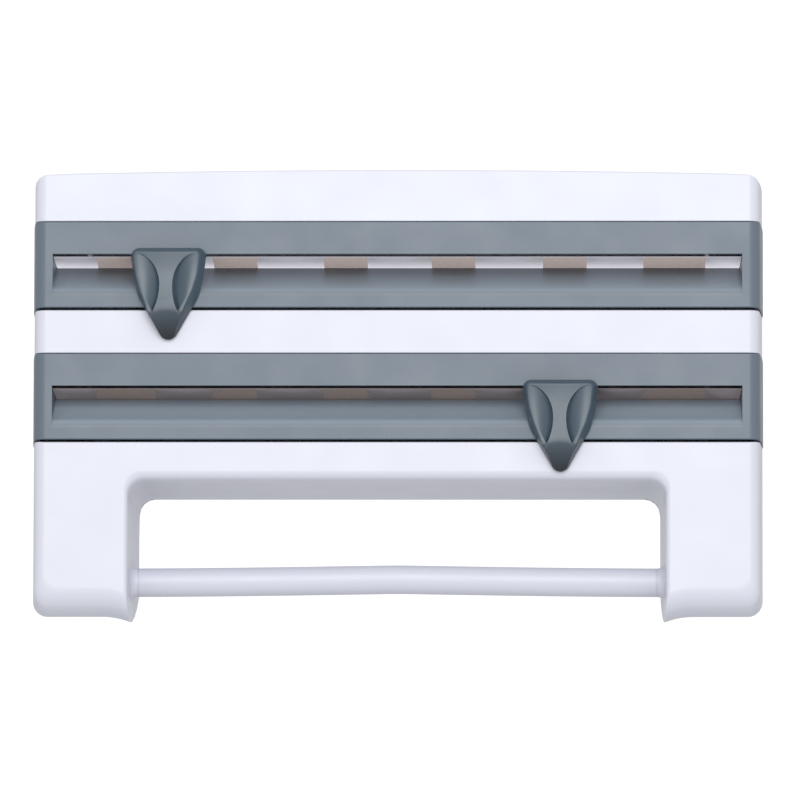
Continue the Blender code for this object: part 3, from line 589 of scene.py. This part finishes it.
def housing_shell():
    """Legs, beam and side walls: one hollow moulding, open at the back."""
    ear_front = WRAP_DEPTH + GAP
    loops = [(d, 0.0, False) for d in front_depths() + [SECTION_DEPTHS[0], ear_front]]
    loops += [(d, 0.0, True) for d in (ear_front, *SECTION_DEPTHS[2:], HOUSING_BACK)]
    loops += [(d, WALL, False) for d in (HOUSING_BACK, *SECTION_DEPTHS[::-1])]
    loops += [(d, WALL, False) for d in front_depths()[::-1] if d > WALL]
    rings = [[place(x, d, h) for x, h in housing_outline(d, inset, ears)] for d, inset, ears in loops]
    shell = loft(rings, "housing_shell", WHITE)
    bosses = [turned([(WALL / 2, BOSS_RADIUS), (HOUSING_BACK, BOSS_RADIUS)], (x, 0, height), "depth",
                     "boss", WHITE, 24) for x, height in BOSS_PLACES]
    combine(shell, bosses, "UNION")
    flat_shading(shell)
    adopt(shell, "housing", "white_housing", "main_housing")


def middle_band():
    """White band between the drawers, with the deck that carries the upper drawer."""
    low = DRAWER_BOTTOM["lower"] + DRAWER_HEIGHT + GAP
    high = DRAWER_BOTTOM["upper"] - LINE_GAP
    made = band(low, high, 0, 0.5 * MM, 1.0 * MM, "middle_band", WHITE)
    half = WIDTH / 2 - WALL - GAP + OVERLAP
    front_half = half_width(CORNER_RADIUS) - WALL / 2
    plan = [(front_half - 5 * MM, WALL / 2), (front_half, 9 * MM), (half, WRAP_DEPTH),
            (half, HOUSING_BACK - 8 * MM)]
    plan += [(-x, d) for x, d in plan[::-1]]
    deck = loft([[place(x, d, h) for x, d in plan] for h in (high - WALL, high - 0.02 * MM)],
                "deck", WHITE)
    combine(made, [deck], "UNION")
    flat_shading(made)
    adopt(made, "housing", "white_housing", "middle_deck")


def rail_height(x, depth, inset):
    """Top of the shelf's rail: arched at the front, lower along the sides and back."""
    if depth >= CORNER_RADIUS - 1e-9:
        return RAIL_TOP - RAIL_SIDE_DROP
    share = min(1.0, abs(x) / (WIDTH / 2))
    start = half_width(0) - RAIL_DROP_REACH
    turn = min(1.0, max(0.0, abs(x) + inset - start) / RAIL_DROP_REACH)
    return RAIL_TOP + RAIL_ARCH * (1 - share * share) - RAIL_SIDE_DROP * (1 - math.sqrt(1 - turn * turn))


def shelf_outline(inset):
    """Closed plan outline of the shelf tray, with extra points along the front for the arch."""
    right = side_path(inset, FLARE_DEPTH)
    radius = 4 * MM - inset / 2
    right += arc(WIDTH / 2 - inset - radius, DEPTH - inset - radius, radius, 0, 90, 8)
    front = [(right[0][0] * k / 16, inset) for k in range(-15, 16)]
    return [(-x, d) for x, d in right[::-1]] + front + right


def shelf_tray():
    """Shelf tray: floor and a low rail all round, arched at the front."""
    def level(inset, height):
        return [place(x, d, height) for x, d in shelf_outline(inset)]

    def rim(inset, drop):
        return [place(x, d, rail_height(x, d, inset) - drop) for x, d in shelf_outline(inset)]

    foot_edge, rim_edge, fillet = edge_steps(0.5 * MM), edge_steps(1.1 * MM), edge_steps(1.5 * MM)
    rings = [level(drawn, SHELF_BOTTOM + rise) for rise, drawn in foot_edge]
    rings += [rim(drawn, drop) for drop, drawn in rim_edge[::-1]]
    rings += [rim(WALL - drawn, drop) for drop, drawn in rim_edge]
    rings += [level(WALL + drawn, SHELF_BOTTOM + WALL + rise) for rise, drawn in fillet[::-1]]
    # The shelf's lighter white is painted light.
    made = loft(rings, "shelf_tray", TOP_WHITE_PAINTED_LIGHT)
    flat_shading(made)
    adopt(made, "housing", "white_housing", "top_shelf")


def rod_centre():
    """(x, depth, height) of the rod's middle."""
    low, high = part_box("rod_tube")
    return 0, (low.y + high.y) / 2 - FRONT, (low.z + high.z) / 2 - BASE


def rod_sockets():
    """Flared cups, rooted in the legs' inner faces, that hold the towel rod's pins."""
    low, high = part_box("rod_tube")
    rim_radius = (high.z - low.z) / 2 + SOCKET_FLARE
    _, depth, height = rod_centre()
    for side, name in ((-1, "left_rod_socket"), (1, "right_rod_socket")):
        near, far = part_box(name)
        base = (near.x, far.x)[side > 0]
        length = far.x - near.x + SEAM
        flare = [(length * (1 - math.cos(turn)) - 2 * GAP * math.cos(turn),
                  rim_radius - SOCKET_FLARE * math.sin(turn))
                 for turn in (math.pi / 2 * k / 10 for k in range(11))]
        profile = [(-SOCKET_ROOT, SOCKET_BORE), (-SOCKET_ROOT, rim_radius)] + flare
        profile += [(length, SOCKET_BORE)]
        profile = [(-side * along, radius) for along, radius in profile]
        made = turned(profile, (base, depth, height), "x", name + "_cup", ROD_WHITE, closed=True)
        adopt(made, "housing", "white_housing", name)


# Drawers ----------------------------------------------------------------------------------------
def groove_end(depth):
    """Half length of the cutting groove at this depth."""
    return SLOT_HALF - max(0.0, depth) * math.tan(SLOT_DRAFT)


def prism_side(section, left, right, name, finish):
    """Extrude a (depth, height) section along X; left and right are functions of depth."""
    return loft([[place(left(d), d, h) for d, h in section],
                 [place(right(d), d, h) for d, h in section]], name, finish)


def drawer_front(level):
    """Wrapped front with its slot and the sloping groove behind it."""
    bottom, face, edge = DRAWER_BOTTOM[level], -DRAWER_PROUD, 0.6 * MM
    made = band(bottom, bottom + DRAWER_HEIGHT, face, edge, edge, level + "_front_shell", GREY)
    slope = math.atan2(RAMP_TOP - RAMP_FOOT, GROOVE_DEPTH - face)
    tangent = FOOT_RADIUS * math.tan((math.pi / 2 - slope) / 2)
    foot_arc = arc(face + FOOT_RADIUS, RAMP_FOOT - tangent, FOOT_RADIUS, 180,
                   90 + math.degrees(slope), 12)
    combine(made, [box(-SLOT_HALF, SLOT_HALF, -4 * MM, WALL + MM, bottom + RAMP_FOOT - tangent,
                       bottom + LIP_HEIGHT, "window", GREY)], "DIFFERENCE")
    inside = WALL - 0.5 * MM
    section = foot_arc + [(GROOVE_DEPTH, RAMP_TOP), (GROOVE_DEPTH, RAMP_TOP - RAMP_THICKNESS),
                          (inside, RAMP_FOOT - RAMP_THICKNESS - MM),
                          (inside, RAMP_FOOT - tangent - MM), (face, RAMP_FOOT - tangent - MM)]
    section = [(d, bottom + h) for d, h in section]
    # The ramp carries the groove's painted light and shade.
    parts = [prism_side(section, lambda d: -SLOT_HALF - MM, lambda d: SLOT_HALF + MM, "ramp",
                        GROOVE_PAINTED_LIGHT[level])]
    low, high = bottom + RAMP_FOOT - 2 * MM, bottom + LIP_HEIGHT + 2 * MM
    side_section = [(face + 0.2 * MM, low), (GROOVE_DEPTH, bottom + RAMP_TOP - MM),
                    (GROOVE_DEPTH, high), (face + 0.2 * MM, high)]
    outer = SLOT_HALF + 2 * MM
    parts.append(prism_side(side_section, groove_end, lambda d: outer, "end", GREY))
    parts.append(prism_side(side_section, lambda d: -outer, lambda d: -groove_end(d), "end", GREY))
    for number in range(1, 5):
        low_corner, high_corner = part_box(f"{level}_tray_screw_{number}")
        centre = (low_corner + high_corner) / 2
        ends = [(bottom + end, TRAY_BOSS_RADIUS) for end in (TRAY_BOSS_BOTTOM, TRAY_BOSS_TOP)]
        parts.append(turned(ends, (centre.x, centre.y - FRONT, 0), "height", "boss", GREY, 24))
    combine(made, parts, "UNION")
    soften(made, 0.3 * MM)
    adopt(made, level + "_drawer", "drawer_grey", level + "_drawer_front")


def guide_section(bottom, thickness):
    """(depth, height) section of the film guide's lower layer; its nose is cut back underneath."""
    def underside(depth):
        return bottom + GUIDE_HEIGHT - (depth - GUIDE_FRONT) * GUIDE_SLOPE

    front = GUIDE_NOSE - (GUIDE_NOSE - GUIDE_FRONT) * thickness / GUIDE_THICKNESS
    return [(GUIDE_NOSE, underside(GUIDE_NOSE)), (GUIDE_BACK, underside(GUIDE_BACK)),
            (GUIDE_BACK, underside(GUIDE_BACK) + thickness), (front, underside(front) + thickness)]


def film_guide(level):
    """Thin bar over the groove with soft pads let into its underside."""
    bottom = DRAWER_BOTTOM[level]
    made = prism_side(guide_section(bottom, GUIDE_THICKNESS), lambda d: -groove_end(d) + GAP,
                      lambda d: groove_end(d) - GAP, level + "_guide_bar", GUIDE[level])
    nose, back, back_top, front_top = guide_section(bottom, PAD_THICKNESS + PAD_CLEARANCE)
    past = 0.3 * MM
    pocket = [(nose[0] - 4 * past, nose[1] - MM), (back[0] + past, back[1] - MM),
              (back_top[0] + past, back_top[1]), (front_top[0] - past, front_top[1])]
    cuts = [prism_side(pocket, lambda d, x=x, half=half: x - half, lambda d, x=x, half=half: x + half,
                       "pocket", GUIDE[level]) for x, half in PADS]
    combine(made, cuts, "DIFFERENCE")
    adopt(made, level + "_drawer", "guide_light" if level == "upper" else "guide_dark",
          level + "_film_guide")
    for number, (x, half) in enumerate(PADS, 1):
        edge = half - 2 * PAD_CLEARANCE
        pad = prism_side(guide_section(bottom, PAD_THICKNESS), lambda d: x - edge, lambda d: x + edge,
                         f"{level}_pad_{number}", PAD[level])
        adopt(pad, level + "_drawer", "pad_light" if level == "upper" else "pad_dark",
              f"{level}_grip_pad_{number}")


# Cutters ----------------------------------------------------------------------------------------
def shield_outline():
    """Base outline of a cutter grip as (x, distance below the top), in millimetres."""
    corners = SHIELD_HALF + [SHIELD_TIP] + [(-x, y, r) for x, y, r in SHIELD_HALF[::-1]]
    return rounded_polygon(corners, 14)


def edge_distance(points, outline):
    """Distance of each point to the closed outline."""
    starts = np.array(outline)
    ends = np.roll(starts, -1, axis=0)
    along = ends - starts
    length = np.maximum((along ** 2).sum(1), 1e-12)
    offset = points[:, None, :] - starts[None, :, :]
    share = np.clip((offset * along[None]).sum(2) / length[None], 0, 1)
    nearest = starts[None] + share[..., None] * along[None]
    return np.sqrt(((points[:, None, :] - nearest) ** 2).sum(2)).min(1)


def smooth_min(a, b, reach):
    """The smaller of two heights with a rounded meeting edge."""
    share = np.clip(0.5 + 0.5 * (b - a) / reach, 0, 1)
    return b * (1 - share) + a * share - reach * share * (1 - share)


def scoop_span(below, half):
    """(depth share, inner x, outer x) of the finger scoops at a distance below the grip's top."""
    reach = np.where(below < SCOOP_MIDDLE, *SCOOP_REACH)
    level = np.clip(1 - ((below - SCOOP_MIDDLE) / reach) ** 2, 0, 1)
    inner = SCOOP_INNER - SCOOP_SWELL * np.sqrt(level)
    return level ** 0.8, inner, np.maximum(half - SCOOP_BORDER, inner + 0.5)


def grip_heights(x, below, edge, half):
    """Height of the grip's surface above its back, in millimetres.

    A drafted wall all round, steeper at the nose, meets a front that rises to the nose's edge, with a
    finger scoop on each side of an hourglass ridge.
    """
    at_nose = np.clip((below - 26) / 9, 0, 1)
    wall_angle = GRIP_WALL_ANGLE + (GRIP_NOSE_ANGLE - GRIP_WALL_ANGLE) * at_nose
    wall = GRIP_FOOT + edge * np.tan(np.radians(wall_angle))
    rise = np.clip((below - 11) / 20, 0, 1.2)
    fall = np.clip(1 - below / 14, 0, None)
    front = 7.3 + 1.75 * rise ** 2 + 0.75 * fall ** 2
    past = below - GRIP_NOSE_START - 0.045 * x * x
    nose = 9.1 - 0.16 * past - 0.0175 * np.clip(past, 0, None) ** 2
    front = smooth_min(front, nose, 1.2) - 0.0028 * x * x
    share, inner, outer = scoop_span(below, half)
    inward = np.clip((outer - np.abs(x)) / (outer - inner), 0, 1)
    edge_fall = np.clip((np.abs(x) - inner) / SCOOP_EDGE, 0, 1)
    front = front - SCOOP_DEPTH * share * inward ** 1.6 * edge_fall
    return np.clip(smooth_min(wall, front, 2.0 - 0.9 * at_nose), 0, GRIP_THICKNESS / MM - 0.02)


def grip_columns(half, inner, outer):
    """X places of one row of the grip's grid, with lines along both edges of each scoop."""
    knots = [0, inner, inner + SCOOP_EDGE, outer, half]
    right = [0.0]
    for start, stop, cells in zip(knots, knots[1:], GRIP_CELLS):
        right += [start + (stop - start) * k / cells for k in range(1, cells + 1)]
    return [-x for x in right[:0:-1]] + right


def cutter_grip(level, lean):
    """Shield-shaped finger grip; lean is how far its front has shifted sideways by play."""
    low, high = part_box(level + "_cutter_grip")
    centre_x = (low.x + high.x) / 2
    top = high.z - BASE
    outline = shield_outline()
    right = sorted({(round(y, 4), x) for x, y in outline if x > -1e-6})
    heights, widths = [y for y, _ in right], [x for _, x in right]
    tip = heights[-1]
    rows, columns = GRIP_ROWS, 2 * sum(GRIP_CELLS)
    belows = np.array([tip * (1 - math.cos(math.pi * j / rows)) / 2 for j in range(rows)])
    half = np.interp(belows, heights, widths)
    _, inner, outer = scoop_span(belows, half)
    grid = np.array([(x, below) for below, w, i, o in zip(belows, half, inner, outer)
                     for x in grip_columns(w, min(i, 0.72 * w), min(o, 0.9 * w))])
    edge = edge_distance(grid, outline)
    edge[::columns + 1] = 0
    edge[columns::columns + 1] = 0
    edge[:columns + 1] = 0
    up = grip_heights(grid[:, 0], grid[:, 1], edge, np.repeat(half, columns + 1))
    lean_x = lean * up / (GRIP_THICKNESS / MM)
    bm = bmesh.new()
    verts = [bm.verts.new(place(centre_x + (x + s) * MM, GRIP_BACK - h * MM, top - b * MM))
             for (x, b), h, s in zip(grid, up, lean_x)]
    end = bm.verts.new(place(centre_x, GRIP_BACK, top - tip * MM))
    step = columns + 1
    for j in range(rows - 1):
        for i in range(columns):
            a = j * step + i
            bm.faces.new((verts[a], verts[a + 1], verts[a + step + 1], verts[a + step]))
    last = (rows - 1) * step
    for i in range(columns):
        bm.faces.new((verts[last + i], verts[last + i + 1], end))
    rim = [verts[i] for i in range(step)]
    rim += [verts[j * step + columns] for j in range(1, rows)] + [end]
    rim += [verts[j * step] for j in range(rows - 1, 0, -1)]
    bm.faces.new(rim)
    made = object_of(bm, level + "_grip_shell", CUTTER_GREY, sharp=60, tidy=False)
    adopt(made, level + "_cutter", "cutter_grey", level + "_cutter_grip")


def cutter_blade(level):
    """Double-ended blade with ground edges."""
    node = level + "_cutter_blade"
    low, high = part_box(node)
    centre_x, centre_y = (low.x + high.x) / 2, low.y + (high.y - low.y) * 0.4
    half = (high.x - low.x) / 2

    def ring(scale, z):
        plan = [(-half, 0), (0, low.y - centre_y), (half, 0), (0, high.y - centre_y)]
        return [Vector((centre_x + x * scale, centre_y + y * scale, z)) for x, y in plan]

    middle = (low.z + high.z) / 2
    edge = (high.z - low.z) * 0.08
    made = loft([ring(BLADE_GRIND, low.z), ring(1.0, middle - edge), ring(1.0, middle + edge),
                 ring(BLADE_GRIND, high.z)], level + "_blade", STEEL, sharp=20)
    adopt(made, level + "_cutter", "steel", node)


# Screws -----------------------------------------------------------------------------------------
def screw_mesh(length, head_radius, head, shank_radius, metal):
    """Pan-head screw along +Z, head upwards, its seat at z 0, with a cross recess and a thread."""
    dome = [(head * math.sin(math.radians(a)), head_radius * math.cos(math.radians(a)) ** 0.45)
            for a in range(0, 86, 9)]
    profile = [(-length, shank_radius * 0.25), (-length + MM, shank_radius * 0.8)]
    pitch = 0.8 * MM
    turns = int((length - 2 * MM) / pitch)
    for k in range(turns):
        z = -length + MM + k * pitch
        profile += [(z + pitch * 0.25, shank_radius), (z + pitch * 0.5, shank_radius * 0.8),
                    (z + pitch * 0.95, shank_radius * 0.8)]
    profile += [(0, shank_radius * 0.8), (0, head_radius * 0.97), (0.1 * MM, head_radius)]
    profile += dome[1:]
    made = turned(profile, (0, -FRONT, -BASE), "height", "screw", metal, 32)
    wide, long, deep = head_radius * 0.17, head_radius * 0.55, head * 0.7
    cuts = []
    for a, b in ((wide, long), (long, wide)):
        bm = bmesh.new()
        foot = [(-a * 0.7, -b * 0.7), (a * 0.7, -b * 0.7), (a * 0.7, b * 0.7), (-a * 0.7, b * 0.7)]
        rings = [[bm.verts.new((x * s, y * s, z)) for x, y in foot]
                 for z, s in ((head - deep, 1.0), (head + MM, 1.6))]
        bm.faces.new(rings[0])
        bm.faces.new(rings[1])
        for i in range(4):
            j = (i + 1) % 4
            bm.faces.new((rings[0][i], rings[0][j], rings[1][j], rings[1][i]))
        cuts.append(object_of(bm, "cut", metal))
    combine(made, cuts, "DIFFERENCE")
    mesh = made.data
    mesh.set_sharp_from_angle(angle=math.radians(35))
    bpy.data.objects.remove(made, do_unlink=True)
    return mesh


def screws(nodes, body, heading, metal=STEEL):
    """Detailed screws in place of CAD screws whose heads point along heading."""
    heading = Vector(heading)
    axis = [i for i in range(3) if heading[i]][0]
    low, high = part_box(nodes[0])
    size = high - low
    head_radius = max(size[i] for i in range(3) if i != axis) / 2
    head = head_radius * 0.42
    mesh = screw_mesh(size[axis] - head, head_radius, head, 1.2 * MM, metal)
    for node in nodes:
        low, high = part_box(node)
        centre = (low + high) / 2
        seat = centre.copy()
        seat[axis] = (high[axis] if heading[axis] > 0 else low[axis]) - heading[axis] * head
        made = bpy.data.objects.new(node + "_detail", mesh.copy())
        turn = heading.to_track_quat("Z", "X").to_matrix().to_4x4()
        made.data.transform(Matrix.Translation(seat) @ turn)
        bpy.context.scene.collection.objects.link(made)
        adopt(made, body, "steel", node)


# Towel rod --------------------------------------------------------------------------------------
def rod_bow(x, half):
    """How far the rod has bowed up at x."""
    share = math.sqrt((x / half) ** 2 + 0.002)
    return ROD_BOW * max(0.0, 1 - share) ** 1.5


def rod_shell():
    """Slightly bowed tube with bored ends."""
    low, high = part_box("rod_tube")
    half, radius = (high.x - low.x) / 2 + SEAM, (high.z - low.z) / 2
    edge, steps = edge_steps(0.15 * MM), 60
    outside = [(-half + d, radius - drawn) for d, drawn in edge]
    outside += [(half * (2 * k / steps - 1) * 0.985, radius) for k in range(steps + 1)]
    outside += [(half - d, radius - drawn) for d, drawn in edge[::-1]]
    web_left = -half + PLUNGER_SEAT
    web_right = web_left + 3 * MM
    right = [(half + (web_right - half) * k / 40, ROD_BORE) for k in range(41)]
    web = [(web_right, 0.01 * MM), (web_left, 0.01 * MM)]
    left = [(web_left - PLUNGER_SEAT * k / 12, ROD_BORE) for k in range(13)]
    made = turned(outside + right + web + left, rod_centre(), "x", "rod_shell", ROD_WHITE, 56, closed=True)
    for vertex in made.data.vertices:
        vertex.co.z += rod_bow(vertex.co.x, half)
    adopt(made, "towel_rod", "white_housing", "rod_tube")


def spring_coil():
    """Compression spring with closed ends between the plunger and the tube's web."""
    low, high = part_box("rod_spring")
    wire = 0.45 * MM
    coil = (high.z - low.z) / 2 - wire
    start, stop = low.x + wire, high.x - wire
    turns, steps, sides, dead_share = 8.5, 28, 12, 0.12
    count = int(turns * steps)
    centre_y, centre_z = (low.y + high.y) / 2, (low.z + high.z) / 2
    rings = []
    for k in range(count + 1):
        share = k / count
        eased = np.interp(share, [0, dead_share, 1 - dead_share, 1], [0, 0.04, 0.96, 1])
        turn = 2 * math.pi * k / steps
        ring = []
        for j in range(sides):
            around = 2 * math.pi * j / sides
            radius = coil + wire * math.cos(around)
            ring.append(Vector((start + (stop - start) * eased + wire * math.sin(around),
                                centre_y + radius * math.cos(turn), centre_z + radius * math.sin(turn))))
        rings.append(ring)
    made = loft(rings, "spring_coil", STEEL)
    adopt(made, "towel_rod", "steel", "rod_spring")
    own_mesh(made)


# CAD nodes that keep their shape ----------------------------------------------------------------
def finish_node(name, finish, width=0.0):
    """New material, welded shading and rounded edges for a CAD node."""
    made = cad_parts[name]
    made.data.materials.clear()
    made.data.materials.append(finish)
    weld = made.modifiers.new("weld", "WELD")
    weld.merge_threshold = 1e-6
    if width:
        soften(made, width)


def finish_nodes():
    """Materials and edges of the CAD nodes that are shown as they are."""
    finish_node("back_panel", INNER_WHITE, 0.25 * MM)
    finish_node("rod_end_cap", WHITE, 0.2 * MM)
    finish_node("rod_plunger", INNER_WHITE, 0.2 * MM)
    for level in ("upper", "lower"):
        for hand in ("left", "right"):
            finish_node(f"{level}_{hand}_runner", INNER_WHITE, 0.4 * MM)
        finish_node(level + "_drawer_tray", INNER_WHITE, 0.3 * MM)
        finish_node(level + "_cutter_carriage", CUTTER_GREY, 0.25 * MM)


# Stage, light and camera ------------------------------------------------------------------------
def floor():
    """Plain pale floor below the wall-mounted object."""
    bm = bmesh.new()
    bmesh.ops.create_grid(bm, x_segments=1, y_segments=1, size=8)
    made = Surface("floor")
    made.link("Base Color", made.mix(made.spread(made.noise(1.5, 3), 0, 1), (0.74, 0.74, 0.75, 1),
                                     (0.78, 0.78, 0.79, 1)))
    made.shader.inputs["Roughness"].default_value = 0.9
    ground = object_of(bm, "floor", made.material)
    ground.location.z = FLOOR_LEVEL


def key_light():
    """Large soft light in front and above."""
    light = bpy.data.lights.new("key", "AREA")
    light.shape = "RECTANGLE"
    light.size, light.size_y = KEY_SIZE
    light.energy = KEY_POWER
    made = bpy.data.objects.new("key", light)
    made.location = KEY_PLACE
    made.rotation_euler = (Vector((0, FRONT, 0)) - Vector(KEY_PLACE)).to_track_quat("-Z", "Y").to_euler()
    bpy.context.scene.collection.objects.link(made)


def surround():
    """White surround that is brighter to the camera than it is as a light."""
    world = bpy.data.worlds.new("surround")
    world.use_nodes = True
    nodes, links = world.node_tree.nodes, world.node_tree.links
    nodes.clear()
    seen = nodes.new("ShaderNodeLightPath").outputs["Is Camera Ray"]
    strength = nodes.new("ShaderNodeMapRange")
    strength.inputs["To Min"].default_value = AMBIENT
    strength.inputs["To Max"].default_value = BACKDROP
    links.new(seen, strength.inputs["Value"])
    background = nodes.new("ShaderNodeBackground")
    background.inputs["Color"].default_value = (1, 1, 1, 1)
    links.new(strength.outputs["Result"], background.inputs["Strength"])
    output = nodes.new("ShaderNodeOutputWorld")
    links.new(background.outputs[0], output.inputs["Surface"])
    bpy.context.scene.world = world
    bpy.context.scene.view_settings.view_transform = "Standard"


def camera():
    """Long lens a little below and to the right of the front."""
    back = Vector((math.sin(CAMERA_RIGHT) * math.cos(CAMERA_BELOW),
                   -math.cos(CAMERA_RIGHT) * math.cos(CAMERA_BELOW), -math.sin(CAMERA_BELOW)))
    view = bpy.data.cameras.new("camera")
    view.sensor_width = 36
    view.lens = LENS
    view.clip_end = 50
    made = bpy.data.objects.new("camera", view)
    made.location = CAMERA_TARGET + back * CAMERA_DISTANCE
    aim = (-back).to_track_quat("-Z", "Y").to_matrix()
    made.rotation_euler = (aim @ Matrix.Rotation(ROLL, 3, "Z")).to_euler()
    bpy.context.scene.collection.objects.link(made)
    bpy.context.scene.camera = made


camera()
housing_shell()
middle_band()
shelf_tray()
rod_sockets()
for drawer_level, drawer_lean in (("upper", -1.8), ("lower", -0.5)):
    drawer_front(drawer_level)
    film_guide(drawer_level)
    cutter_grip(drawer_level, drawer_lean)
    cutter_blade(drawer_level)
    # Tray screws in near-black steel, painted shade that keeps the gaps dark.
    screws([f"{drawer_level}_tray_screw_{n}" for n in range(1, 5)], drawer_level + "_drawer", (0, 0, -1),
           GAP_SHADE_STEEL)
    screws([drawer_level + "_cutter_screw"], drawer_level + "_cutter", (0, 1, 0))
screws([f"back_panel_screw_{n}" for n in range(1, 5)], "housing", (0, 1, 0))
rod_shell()
spring_coil()
finish_nodes()
floor()
key_light()
surround()
